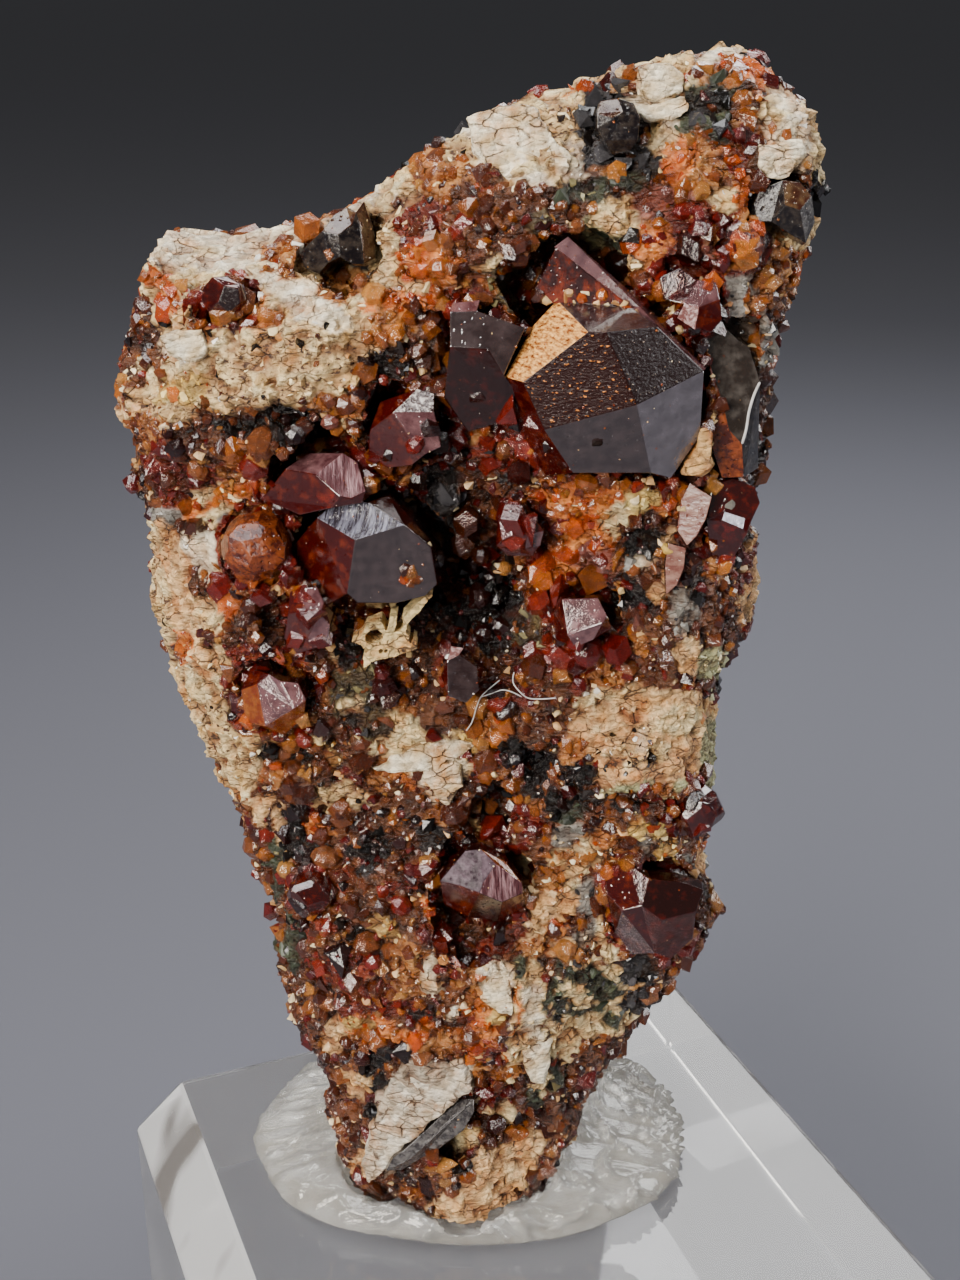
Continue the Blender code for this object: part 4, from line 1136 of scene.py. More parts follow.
# Lint fibres as the eye sees them, each a run of places.
LINT = (
    ((500, 680), (489, 689), (481, 697), (477, 706), (472, 722), (466, 731)),
    ((514, 672), (513, 682), (519, 691), (528, 698), (541, 699), (556, 698)),
    ((481, 697), (490, 694), (502, 690), (512, 692), (522, 697)),
)
LINT_RADIUS = 0.03
LINT_LIFT = 0.45
# The quartz plate's pale broken edge.
PLATE_EDGE = ((760, 382), (754, 395), (749, 412), (746, 430), (742, 444))
EDGE_RADIUS = 0.06
EDGE_DEPTH = -3.3


def sight(across, down):
    """The way from the eye through this place of the frame, with a length of 1 along its middle."""
    ahead = Vector((0.0, math.cos(LOOKING_DOWN), -math.sin(LOOKING_DOWN)))
    above = Vector((0.0, math.sin(LOOKING_DOWN), math.cos(LOOKING_DOWN)))
    right = (across - FRAME_MIDDLE[0]) / FRAME_REACH
    return ahead + Vector((1, 0, 0)) * right - above * (down - FRAME_MIDDLE[1]) / FRAME_REACH


def inside(across, down, outline):
    """Whether a place of the frame is inside an outline."""
    odd = False
    for (x1, y1), (x2, y2) in zip(outline, outline[1:] + outline[:1]):
        if (y1 > down) != (y2 > down) and across < x1 + (x2 - x1) * (down - y1) / (y2 - y1):
            odd = not odd
    return odd


def at_depth(across, down, depth):
    """The place where this line of sight reaches a depth along Y."""
    ray = sight(across, down)
    return Vector(EYE) + ray * ((depth - EYE[1]) / ray.y)


def build_flake():
    """The pierced flake, standing off the druse on its back."""
    left, top = FLAKE_CORNER
    cells, verts = [], {}
    shape = bmesh.new()
    for row in range(FLAKE_CELLS[1]):
        for column in range(FLAKE_CELLS[0]):
            across, down = left + column * FLAKE_CELL, top + row * FLAKE_CELL
            holed = any(in_ellipse(across, down, *hole) < 1 for hole in FLAKE_HOLES)
            if inside(across, down, FLAKE) and not holed:
                cells.append((column, row))
    for column, row in cells:
        corners = []
        for corner in ((column, row), (column, row + 1), (column + 1, row + 1), (column + 1, row)):
            if corner not in verts:
                across, down = left + (corner[0] - 0.5) * FLAKE_CELL, top + (corner[1] - 0.5) * FLAKE_CELL
                place = at_depth(across, down, FLAKE_DEPTH)
                place.y += 0.25 * noise.noise(place / 0.9) + 0.1 * noise.noise(place / 0.25)
                verts[corner] = shape.verts.new((place + Vector(LIFT)) * MM)
            corners.append(verts[corner])
        shape.faces.new(corners)
    bmesh.ops.smooth_vert(shape, verts=shape.verts, factor=0.5, use_axis_x=True, use_axis_z=True)
    made = bmesh.ops.extrude_face_region(shape, geom=list(shape.faces))["geom"]
    for vert in (g for g in made if isinstance(g, bmesh.types.BMVert)):
        vert.co.y += FLAKE_THICK * MM
    bmesh.ops.recalc_face_normals(shape, faces=shape.faces)
    mesh = mesh_of(shape, "cream_flake")
    paint(mesh, "tone", "FLOAT_COLOR", np.tile(linear("#e8cc90"), len(mesh.vertices)))
    new_piece("cream_flake", mesh, "rock", finish("rock"))


def tube(shape, places, radius, sides=6, steps=6):
    """Adds a thin tube along a smooth line through the places, narrowed at its ends."""
    route = []
    for i in range(len(places) - 1):
        before, first = places[max(i - 1, 0)], places[i]
        second, after = places[i + 1], places[min(i + 2, len(places) - 1)]
        square = 2 * before - 5 * first + 4 * second - after
        cube = 3 * first - before - 3 * second + after
        for t in [k / steps for k in range(steps)]:
            route.append(0.5 * (2 * first + (second - before) * t + square * t**2 + cube * t**3))
    route.append(places[-1])
    rings = []
    for i, place in enumerate(route):
        along = (route[min(i + 1, len(route) - 1)] - route[max(i - 1, 0)]).normalized()
        side = along.cross(Vector((0.3, 1.0, 0.2))).normalized()
        up = along.cross(side)
        thin = radius * (0.35 if i in (0, len(route) - 1) else 1.0)
        ring = []
        for turn in [math.tau * k / sides for k in range(sides)]:
            spoke = thin * (side * math.cos(turn) + up * math.sin(turn))
            ring.append(shape.verts.new((place + Vector(LIFT) + spoke) * MM))
        rings.append(ring)
    for ring, later in zip(rings, rings[1:]):
        for k in range(sides):
            shape.faces.new((ring[k], ring[(k + 1) % sides], later[(k + 1) % sides], later[k]))
    shape.faces.new(rings[0])
    shape.faces.new(rings[-1])


def build_lint(rock):
    """Lint fibres caught on the druse, and the pale broken edge of the quartz plate."""
    stone = surface(rock)
    shape = bmesh.new()
    for run in LINT:
        places = []
        for across, down in run:
            ray = sight(across, down)
            place, _, _, _ = stone.ray_cast(Vector(EYE), ray)
            places.append(place - LINT_LIFT * ray)
        tube(shape, places, LINT_RADIUS)
    tube(shape, [at_depth(*spot, EDGE_DEPTH) for spot in PLATE_EDGE], EDGE_RADIUS)
    bmesh.ops.recalc_face_normals(shape, faces=shape.faces)
    mesh = mesh_of(shape, "lint")
    mesh.shade_smooth()
    new_piece("lint", mesh, "rock", finish("lint"))


# ---------------------------------------------------------------- large crystals
# Crystals whose faces are set one by one. The first row is the name, how far forward along Y the
# nearest corner lies, and how far the crystal runs back; without them it lies on the stone. Then come
# its corners as the eye sees them (letter, across, down), and each face: its corners, the way that it
# faces (degrees round from -Y towards +X, degrees up) and its finish. Cleaved ones take the rock's.
CRYSTAL_TABLE = """
garnet_great -6.9 5.5
a 557 300, b 588 332, c 523 382, d 505 377, e 532 327, f 606 332, g 637 405, h 544 430, i 651 473, j 573 473
k 704 371, l 700 436, m 671 478, n 658 327, o 630 306, p 711 363, q 568 238, r 556 247, s 536 287, t 533 303
u 511 430, v 546 476
abcde -69 46 garnet etched, cbfgh -12 0 garnet sparked, fnkg 24 15 garnet pitted, hgij 1 -24 garnet slate
gklmi 33 -15 garnet slate pale, aonfb 4 76 garnet slate, rqpkno 80 42 garnet rosy, rots -14 10 garnet ember
oat -14 -20 garnet deep, dchjvu -60 -24 garnet red

garnet_left -5.9 4
a 317 518, b 328 508, c 366 502, d 404 525, e 355 540, f 389 496, g 413 520, h 430 547, i 437 584, j 425 596
k 397 603, l 358 602, m 347 593, n 296 543, o 299 580, p 330 604, q 392 616, r 350 615, s 446 580, t 438 548
abcde -19 54 garnet striated, edhijklm 5 -6 garnet slate, cfgd 30 48 garnet deep, aempon -48 2 garnet red
mlkqr 5 -60 garnet deep, pmr -20 -50 garnet deep, dgtsih 75 10 garnet deep

garnet_ledge -5.7 3.4
a 316 474, b 343 453, c 357 462, d 366 491, e 351 498, f 340 496, g 285 469, h 309 453, i 262 499, j 300 515
k 332 508, l 362 503, m 375 492
abcdef 12 34 garnet striated rosy, ghba -12 62 garnet rosy, gafkji -35 6 garnet red, fedlk 5 -30 garnet red
cmld 60 10 garnet red

garnet_lower -6.2 3
a 440 881, b 465 851, c 481 849, d 496 864, e 483 883, f 480 893, g 461 886, h 522 883, i 523 893, j 502 902
k 505 861, l 524 914, m 498 922, n 468 917, o 444 904
abcdefg -12 29 garnet dusky, edhijf 26 10 garnet striated rosy, ckhd 40 48 garnet orange
agfno -14 -30 garnet red, fjmn 8 -34 garnet deep, jilm 30 -30 garnet red

garnet_beside_great -5.2 3.4
a 450 312, b 477 311, c 525 328, d 504 376, e 488 349, f 450 347, g 444 398, h 468 432, i 508 420, j 516 390
k 452 303, l 480 300
abcdef 0 24 garnet slate, fedjihg -8 -18 garnet deep, klba 0 65 garnet rosy

garnet_upper_left -5.3 3.4
a 393 412, b 434 412, c 441 447, d 426 454, e 410 437, f 417 389, g 434 394, h 370 430, i 368 458, j 388 468
k 412 465, l 440 430, m 380 402
abcde 14 12 garnet rosy, afgb 0 58 garnet frosted, haedkji -26 -6 garnet red, hmfa -40 44 garnet red
blc 60 0 garnet red

garnet_pink_left -5.3 3
a 257 684, b 269 674, c 280 681, d 294 709, e 265 726, f 298 683, g 306 700, h 241 690, i 246 722, j 284 735
k 304 718, l 250 668
abcde -22 14 garnet rosy, cfgd 16 22 garnet rosy, edgkj 12 -34 garnet orange, haei -62 0 garnet orange
hlba -46 40 garnet red, eji -10 -40 garnet orange

garnet_red_left -5.7 3
a 320 614, b 330 625, c 328 641, d 316 648, e 308 638, f 305 588, g 317 587, h 324 602, i 302 612, j 288 614
k 284 638, l 297 654, m 290 592, n 334 612
abcde 26 4 garnet rosy, fghai 4 30 garnet rosy, jiaedlk -16 -4 garnet red, mfij -38 30 garnet red
hnba 60 20 garnet red

garnet_right_centre -4.9 2.6
a 562 599, b 598 598, c 607 616, d 603 623, e 567 635, f 593 640, g 575 647, h 553 612, i 556 640, j 612 628
abcde -4 16 garnet rosy, edfg 6 -36 garnet rosy, haegi -62 -4 garnet red, dcjf 50 -10 garnet red

garnet_centre -4.3 2.4
a 498 516, b 511 510, c 512 536, d 502 540, e 532 516, f 544 531, g 540 546, h 525 548, i 528 534, j 533 556
k 508 556, l 496 546
abcd -30 12 garnet rosy, befic 4 14 garnet red, ifgh 26 0 garnet rosy, dcihjkl -2 -26 garnet red
hgj 20 -26 garnet red, adl -60 -6 garnet red

garnet_lower_right -5 3.6
a 607 872, b 628 862, c 650 879, d 642 906, e 622 910, f 606 892, g 682 882, h 704 890, i 696 912, j 662 920
k 655 953, l 632 955, m 615 932, n 693 938, o 671 959
abcdef -12 30 garnet red, cghijd 8 22 garnet deep, fedjklm -12 -16 garnet wine, jinok 24 -14 garnet wine

garnet_right_edge -3.3 2.6
a 712 484, b 733 478, c 755 487, d 760 503, e 752 520, f 747 534, g 735 556, h 722 572, i 711 560, j 707 520
k 724 513, l 745 518, m 722 520, n 743 529
abcdelkj 6 22 garnet wine, klnm 0 4 garnet bright, jkmnfghi -6 -8 garnet wine, elnf 60 4 garnet red

garnet_red_upper -4.6 2.6
a 660 277, b 680 268, c 698 280, d 684 304, e 664 299, f 699 307, g 695 330, h 677 318, i 720 299, j 722 320
k 711 333, l 701 329, m 716 282
abcde -14 12 garnet wine, dfgh 8 24 garnet frosted rosy, fijklg 30 0 garnet red, cmif 20 42 garnet rosy
cfd 0 24 garnet rosy

garnet_waist -5 2.4
a 447 661, b 459 655, c 477 667, d 479 690, e 466 703, f 448 696, g 441 676, h 451 646, i 464 648
abcdef 6 10 garnet slate, ahib 0 52 garnet frosted rosy, gaf -60 0 garnet red

smoky_quartz_upper_left -2.6 3
a 322 231, b 334 215, c 347 207, d 356 212, e 352 225, f 338 235, g 361 228, h 364 264, i 352 264, j 340 257
l 328 250, m 364 201, n 374 234, o 375 258, p 309 243, q 300 254, r 305 268, s 319 274, t 328 263
abcdef -4 46 brown quartz, fedghij 6 6 dark quartz, afjtl -36 4 dark quartz, dmnohg 46 6 brown quartz
altsrqp -34 -8 dark quartz

smoky_quartz_plate -3.4 2.6
a 696 336, b 705 325, c 723 325, d 738 340, e 749 347, f 760 381, g 749 414, h 742 444, i 729 430, j 722 400
k 712 372, l 758 468, m 744 477, n 722 478, o 709 440, p 706 392
abcdefghijk 12 10 smoky quartz, gflmh 60 -4 dark quartz, kjihmnop -2 -8 garnet clouded

smoky_quartz_top -3 2.6
a 600 101, b 618 98, c 623 112, d 612 118, e 597 114, f 640 117, g 638 139, h 604 140, i 597 128, j 630 151
k 611 153, l 634 103
abcde -10 46 brown quartz, edcfghi -2 0 dark quartz, blfc 36 36 dark quartz, hgjk 0 -36 dark quartz

smoky_quartz_right -3 2.6
a 760 190, b 783 180, c 800 182, d 812 196, e 815 222, f 806 243, g 790 234, h 772 222, i 757 222, j 754 204
k 785 205, l 800 210
jabkhi -16 2 dark quartz, bcdlk 16 48 brown quartz, dlfe 52 -4 quartz face, klfgh 4 -22 dark quartz

garnet_on_boss -3.4 2.2
a 203 288, b 212 277, c 227 276, d 241 284, e 246 300, f 237 326, g 221 321, h 208 312, i 201 300, j 224 286
k 238 289, l 240 303, m 228 313, n 218 302
jklmn 6 4 garnet pitted, abjnhi -42 6 garnet wine, bcdkj 0 50 garnet red, kdel 58 4 garnet wine
lefm 30 -24 garnet wine, nmfgh -8 -36 garnet wine

smoky_quartz_splinter -5.6 1.8
a 386 1171, b 393 1158, c 404 1150, d 440 1117, e 462 1099, f 474 1099, g 474 1112, h 464 1130, i 440 1148
j 418 1160, k 402 1170, l 410 1158, m 456 1114
abcdefml -12 34 quartz face, almfghijk 6 -12 quartz face

rosy_shard_upper -3.9 1.6
a 690 483, b 712 497, c 706 519, d 697 536, e 687 546, f 677 530, g 681 500
abcdefg -16 8 garnet clear rosy

rosy_shard_lower -4.2 1.4
a 668 543, b 686 548, c 684 568, d 677 585, e 666 595, f 665 566
abcdef -10 0 garnet clear rosy

foot_slab -5.5 1.8
a 398 1063, b 463 1060, c 465 1094, d 440 1115, e 402 1150, f 384 1168, g 372 1184, h 361 1168, i 371 1130
j 386 1092, k 472 1076, l 468 1098
abcdefghij -14 8 cleaved, bklc 50 14 cleaved

foot_wedge -5.2 1.4
a 480 1000, b 502 960, c 508 976, d 517 1018, e 498 1011
abcde 4 12 cleaved

foot_block -5.2 1.2
a 422 961, b 440 965, c 443 979, d 439 1001, e 425 998, f 419 984
abcdef -8 16 cleaved

foot_chip -5.1 0.9
a 446 1011, b 458 1001, c 461 1014, d 451 1020
abcd 6 16 cleaved

foot_rib -4.4 1.6
a 528 986, b 545 992, c 552 1012, d 551 1040, e 545 1084, f 530 1082, g 523 1058, h 525 1015
abcdefgh 22 8 cleaved

ridge_slab
a 468 117, b 494 106, c 517 104, d 537 111, e 549 132, f 581 163, g 556 173, h 532 190, i 512 184, j 490 171
k 474 150
abcdefghijk -6 24 cleaved

ridge_block
a 640 67, b 658 62, c 674 64, d 685 76, e 684 92, f 656 98, g 640 92
abcdefg 4 12 cleaved

ridge_step
a 632 104, b 684 96, c 690 111, d 668 121, e 648 122
abcde -8 30 cleaved

ridge_right
a 760 141, b 776 143, c 801 141, d 806 155, e 786 178, f 768 177, g 759 164
abcdefg 8 10 cleaved

ridge_right_upper
a 756 98, b 776 93, c 792 98, d 799 114, e 790 134, f 765 128
abcdef 14 18 cleaved

boss_rim
a 150 262, b 160 243, c 176 237, d 203 246, e 224 244, f 222 258, g 195 268, h 166 268
abcdefgh -10 42 cleaved

boss_slab
a 243 263, b 262 257, c 300 277, d 342 312, e 331 324, f 290 302, g 256 277
abcdefg 8 44 cleaved

boss_block
a 160 334, b 200 330, c 208 352, d 190 363, e 165 353
abcde -6 14 cleaved

waist_sliver
a 370 769, b 400 753, c 440 741, d 479 744, e 456 758, f 430 769, g 395 774
abcdefg -4 36 cleaved

waist_block
a 426 768, b 458 762, c 463 785, d 449 806, e 433 796, f 423 781
abcdef 4 8 cleaved

cream_chip -4.6 1.6
a 702 428, b 711 430, c 713 468, d 704 478, e 681 475, f 692 454
abcdef -6 4 cleaved
"""


def read_crystals(table):
    """The table's crystals by name, each with its corners, faces and depths."""
    crystals = {}
    for block in table.strip().split("\n\n"):
        head, *rows = block.splitlines()
        name, *depths = head.split()
        crystal = {"corners": {}, "faces": [], **dict(zip(("front", "deep"), map(float, depths)))}
        for entry in ",".join(rows).split(","):
            letters, one, two, *label = entry.split()
            if label:
                crystal["faces"].append((letters, float(one), float(two), " ".join(label)))
            else:
                crystal["corners"][letters] = (float(one), float(two))
        crystals[name] = crystal
    return crystals


FACETED = read_crystals(CRYSTAL_TABLE)
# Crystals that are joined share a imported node, and the feldspar's cleaved blocks are one piece.
SHARED_NODES = {"garnet_ledge": "garnet_left"}
ROSY_SHARDS = ("rosy_shard_upper", "rosy_shard_lower")
CLEAVED_BLOCKS = [name for name in FACETED if not name.startswith(("garnet", "smoky", "rosy"))]
CLEAVED_CELL = 0.15
CLEAVED_DEEP = 1.6
CLEAVED_PROUD = 0.5
# Darkest and palest tones of the cleaved blocks; stained ones differ.
FRESH_CLEAVAGE = ("#d8bc8c", "#fdf0d2")
CLEAVED_TONES = {"foot_slab": ("#b8a488", "#e6dac6"), "cream_chip": ("#b87434", "#ecc080")}
# Crystals of the plain form that are clouded.
PALE_GARNETS = ("garnet_round_left", "garnet_orange_right")
# From the eye to the specimen, a first guess that scales every crystal alike.
FAR = 80.0
# Crystals run back into the rock in two steps: share of their depth, and width there.
ROOTS = ((0.35, 1.03), (0.65, 0.72))
ROOT_WAY = (0.0, 0.97, -0.24)
ROOT_SLACK = 0.3


def facing(round_degrees, up_degrees):
    across, up = math.radians(round_degrees), math.radians(up_degrees)
    return Vector((math.sin(across) * math.cos(up), -math.cos(across) * math.cos(up), math.sin(up)))


def solve_corners(crystal):
    """Finds how far along its sight each corner lies, so that every face turns the way it should."""
    names = sorted(crystal["corners"])
    rays = {name: sight(*crystal["corners"][name]) for name in names}
    faces = crystal["faces"]
    wished = [facing(face[1], face[2]) for face in faces]
    ways = wished[:]
    for _ in range(4):
        rows, ends = [], []
        # one unknown for how far each corner lies, and one for where each face's plane lies
        for index, (face, way) in enumerate(zip(faces, ways)):
            for corner in face[0]:
                row = [0.0] * (len(names) + len(faces))
                row[names.index(corner)] = way.dot(rays[corner])
                row[len(names) + index] = -1.0
                rows.append(row)
                ends.append(0.0)
        row = [0.0] * (len(names) + len(faces))
        row[0] = 10.0
        rows.append(row)
        ends.append(10.0 * FAR)
        found = np.linalg.lstsq(np.array(rows), np.array(ends), rcond=None)[0].round(7)
        places = {name: rays[name] * found[i] for i, name in enumerate(names)}
        # the next round asks for ways halfway between the wished and the found
        for index, face in enumerate(faces):
            ring = [places[corner] for corner in face[0]]
            flat = Vector()
            for one, two in zip(ring, ring[1:] + ring[:1]):
                flat += one.cross(two)
            flat.normalize()
            if flat.dot(wished[index]) < 0:
                flat.negate()
            ways[index] = (0.5 * flat + 0.5 * wished[index]).normalized()
    # the whole is slid along the sights until its foremost corner is where it should be
    nearest = min(place.y for place in places.values())
    scale = (crystal["front"] - EYE[1]) / nearest
    return {name: Vector(EYE) + place * scale for name, place in places.items()}


def crystal_uv(shape):
    """Runs stripes along every face by its own direction."""
    layer = shape.loops.layers.uv.new("along")
    for face in shape.faces:
        across = Vector((0, 0, 1)).cross(face.normal)
        if across.length < 1e-4:
            across = Vector((1, 0, 0))
        across.normalize()
        up = face.normal.cross(across)
        for loop in face.loops:
            loop[layer].uv = (loop.vert.co.dot(across) / MM, loop.vert.co.dot(up) / MM)


def faceted_mesh(name, labels, settings):
    """One crystal from its own faces, run back into the rock; new finishes join the labels."""
    crystal = FACETED[name]
    hidden = "dark quartz" if name.startswith("smoky") else "garnet deep"
    for label in [face[3] for face in crystal["faces"]] + [hidden]:
        if label not in labels:
            labels.append(label)
    shape = bmesh.new()
    places = solve_corners(crystal)
    verts = {corner: shape.verts.new((place + Vector(LIFT)) * MM) for corner, place in places.items()}
    for corners, across, up, label in crystal["faces"]:
        face = shape.faces.new([verts[corner] for corner in corners])
        face.normal_update()
        if face.normal.dot(facing(across, up)) < 0:
            face.normal_flip()
        face.material_index = labels.index(label)
    front = set(shape.faces)
    rim = [edge for edge in shape.edges if len(edge.link_faces) == 1]
    middle = sum((v.co for v in shape.verts), Vector()) / len(shape.verts)
    back = Vector(ROOT_WAY) * crystal["deep"] * MM
    for share, narrow in ROOTS:
        made = bmesh.ops.extrude_edge_only(shape, edges=rim)["geom"]
        middle = middle + back * share
        for vert in [g for g in made if isinstance(g, bmesh.types.BMVert)]:
            vert.co = middle + (vert.co + back * share - middle) * narrow
            vert.co.y = max(vert.co.y, middle.y - ROOT_SLACK * MM)
        rim = [g for g in made if isinstance(g, bmesh.types.BMEdge) and len(g.link_faces) == 1]
    bmesh.ops.holes_fill(shape, edges=rim, sides=0)
    for face in set(shape.faces) - front:
        face.material_index = labels.index(hidden)
    bmesh.ops.recalc_face_normals(shape, faces=shape.faces)
    ordered = in_order(mesh_of(shape, name))
    shape = bmesh.new()
    shape.from_mesh(ordered)
    crystal_uv(shape)
    wear(shape, settings.wear, clamp_overlap=True)
    return mesh_of(shape, name)


def build_faceted(piece, members, slot, replaces, settings):
    """A piece of one or more crystals that have faces of their own."""
    labels = []
    joined = bmesh.new()
    for name in members:
        joined.from_mesh(faceted_mesh(name, labels, settings))
    finishes = [finish(label) for label in labels]
    return new_piece(piece, mesh_of(joined, piece), slot, *finishes, replaces=replaces)


def build_cleaved(settings):
    """The feldspar's cleaved blocks: flat and satin, with broken edges, set in the stone."""
    stone = surface(mesh_of(merged_copy("matrix"), "stone_surface"))
    points, faces, tones = [], [], []
    for name in CLEAVED_BLOCKS:
        crystal = FACETED[name]
        if "front" not in crystal:
            hits = [stone.ray_cast(Vector(EYE), sight(*spot))[0] for spot in crystal["corners"].values()]
            depths = sorted(hit.y for hit in hits if hit)
            crystal["front"] = depths[len(depths) // 2] - CLEAVED_PROUD
            crystal["deep"] = CLEAVED_DEEP
        flat = faceted_mesh(name, [], settings)
        mesh = evaluated(flat, "REMESH", mode="VOXEL", voxel_size=CLEAVED_CELL * MM)
        spots, normals = points_of(mesh), normals_of(mesh)
        dark, pale = (np.array(linear(code)) for code in CLEAVED_TONES.get(name, FRESH_CLEAVAGE))
        for i, place in enumerate(spots.copy()):
            spot = Vector(place)
            torn = noise.noise_vector(spot / 0.8)
            spots[i] += 0.2 * np.array((torn.x, 0.0, torn.z)) + 0.07 * normals[i] * noise.noise(spot / 0.3)
            share = min(max(0.6 + 1.1 * noise.noise(spot / 0.6), 0.0), 1.0)
            tones.append(dark + (pale - dark) * share)
        start = len(points)
        points += [tuple(p) for p in spots]
        faces += [[start + v for v in face.vertices] for face in mesh.polygons]
    mesh = new_mesh("cleaved_blocks", points, faces, tones)
    for label, value in (("specked", 0.25), ("gloss", 0.55)):
        paint(mesh, label, "FLOAT", [value] * len(mesh.vertices))
    return new_piece("cleaved_blocks", mesh, "rock", finish("rock"))


def build_crystal(name, settings):
    """A grown crystal of the plain form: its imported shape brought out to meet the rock."""
    shape = merged_copy(name)
    bmesh.ops.dissolve_limit(shape, angle_limit=FLAT, verts=shape.verts, edges=shape.edges)
    middle = sum((v.co for v in shape.verts), Vector()) / len(shape.verts)
    reach = max((v.co - middle).length for v in shape.verts)
    for vert in shape.verts:
        vert.co = middle + (vert.co - middle) * (1.0 + settings.out * MM / reach)
    crystal_uv(shape)
    wear(shape, settings.wear)
    quartz = name.startswith("smoky")
    plain = "dark quartz" if quartz else "garnet clouded" if name in PALE_GARNETS else "garnet wine"
    slot = "smoky_quartz" if quartz else "garnet"
    mesh = mesh_of(shape, name + "_grown")
    return new_piece(name + "_grown", mesh, slot, finish(plain), replaces=(name,))


# ---------------------------------------------------------------- block and tack
ACRYLIC_IOR = 1.49
POLISH = 0.25  # width of the block's polished edges
# A chamfer's faces lean between these shares of straight up, and are larger than this, in mm2.
CHAMFER_LEAN = (0.25, 0.9)
CHAMFER_AREA = 3.0
TACK_CELL = 0.2


def acrylic_finish():
    """Cast acrylic, polished: clear, with sharp reflections."""
    _, _, close = new_finish("cast acrylic, polished")
    clear = linear("#fbfbfd")
    return close({"Base Color": clear, "Roughness": 0.02, "IOR": ACRYLIC_IOR, "Transmission Weight": 0.93})


def milled_finish():
    """Acrylic, milled on the chamfers: bright and a little hazy, in bands that run down the slope."""
    tree, place, close = new_finish("cast acrylic, milled chamfer")
    spread = add_node(tree, "Mapping", {"Vector": place, "Scale": (150.0, 150.0, 60.0)})
    bands = add_node(tree, "TexNoise", {"Vector": spread, "Scale": 1.0, "Detail": 2.0})
    share = add_node(tree, "MapRange", {"Value": bands, "From Min": 0.44, "From Max": 0.53})
    grey, white = linear("#8e8882"), linear("#ffffff")
    colour = add_node(tree, "Mix", {0: share, 6: grey, 7: white}, out=2, data_type="RGBA")
    rough = add_node(tree, "MapRange", {"Value": bands, "To Min": 0.02, "To Max": 0.3})
    return close({"Base Color": colour, "Roughness": rough, "IOR": ACRYLIC_IOR, "Transmission Weight": 0.62})


def tack_finish():
    """Mineral tack, pressed and pulled by hand: a clear gel with milky threads and wet ridges."""
    tree, place, close = new_finish("mineral tack, pressed")
    spread = add_node(tree, "Mapping", {"Vector": place, "Scale": (260.0, 620.0, 400.0)})
    threads = add_node(tree, "TexNoise", {"Vector": spread, "Scale": 1.0, "Detail": 5.0, "Distortion": 1.6})
    share = add_node(tree, "MapRange", {"Value": threads, "From Min": 0.4, "From Max": 0.62})
    milky, clear = linear("#e8e4da"), linear("#fffefa")
    colour = add_node(tree, "Mix", {0: share, 6: milky, 7: clear}, out=2, data_type="RGBA")
    rough = add_node(tree, "MapRange", {"Value": threads, "To Min": 0.02, "To Max": 0.14})
    bump = add_node(tree, "Bump", {"Height": threads, "Strength": 0.5, "Distance": 0.0004})
    return close({
        "Base Color": colour, "Roughness": rough, "Normal": bump, "IOR": 1.48, "Transmission Weight": 0.82,
    })


def build_block():
    """The acrylic block, with milled chamfers and polished edges."""
    shape = merged_copy("display_block")
    bmesh.ops.dissolve_limit(shape, angle_limit=FLAT, verts=shape.verts, edges=shape.edges)
    edges = list(shape.edges)
    bmesh.ops.bevel(shape, geom=edges, offset=POLISH * MM, segments=3, affect="EDGES", profile=0.5)
    shape.normal_update()
    for face in shape.faces:
        sloping = CHAMFER_LEAN[0] < face.normal.z < CHAMFER_LEAN[1]
        face.material_index = int(sloping and face.calc_area() > CHAMFER_AREA * MM**2)
    mesh = mesh_of(shape, "acrylic_block")
    new_piece(
        "acrylic_block", mesh, "acrylic", acrylic_finish(), milled_finish(), replaces=("display_block",)
    )


def build_tack():
    """The tack, pulled into ridges, more strongly on the right."""
    source = mesh_of(merged_copy("mineral_tack"), "tack_source")
    mesh = evaluated(source, "REMESH", mode="VOXEL", voxel_size=TACK_CELL * MM, use_smooth_shade=True)
    mesh.name = "tack"
    points, normals = points_of(mesh), normals_of(mesh)
    moved = np.zeros(len(points))
    for i, (place, normal) in enumerate(zip(points, normals)):
        # its foot and underside stay as they are
        if place[2] < 0.25 or normal[2] < 0.1:
            continue
        spot = Vector(place)
        pulled = spot + 1.6 * noise.noise_vector(spot / 4.0)
        ridge = 1.0 - abs(noise.noise(Vector((pulled.x * 0.35, pulled.y * 0.9, pulled.z * 0.6))))
        strength = 0.35 + 0.65 * min(max((spot.x + 8.0) / 8.0, 0.0), 1.0)
        moved[i] = strength * (0.6 * ridge**9 - 0.15) + 0.03 * noise.noise(spot / 0.7)
    put_points(mesh, points + normals * moved[:, None])
    new_piece("pressed_tack", mesh, "tack", tack_finish(), replaces=("mineral_tack",))


# ---------------------------------------------------------------- stage
FLOOR_REACH = 6.0  # metres
AIR = 0.1  # under the block, in mm
ROOM_LIGHT = 0.13
MIDDLE = (0.0, 0.0, 0.04)
# Softboxes: name, place, size and power, in metres and watts, what it looks at, and its tint.
SOFTBOXES = (
    ("overhead", (-0.06, -0.04, 0.22), 0.12, 0.42, MIDDLE, (1.0, 1.0, 1.0)),
    ("front left", (-0.24, -0.4, 0.2), 0.23, 4.4, MIDDLE, (1.0, 0.94, 0.86)),
    ("right", (0.26, 0.02, 0.16), 0.14, 0.68, MIDDLE, (1.0, 1.0, 1.0)),
    ("behind", (0.07, 0.17, 0.17), 0.1, 0.24, (0.03, 0.02, 0.02), (1.0, 1.0, 1.0)),
)


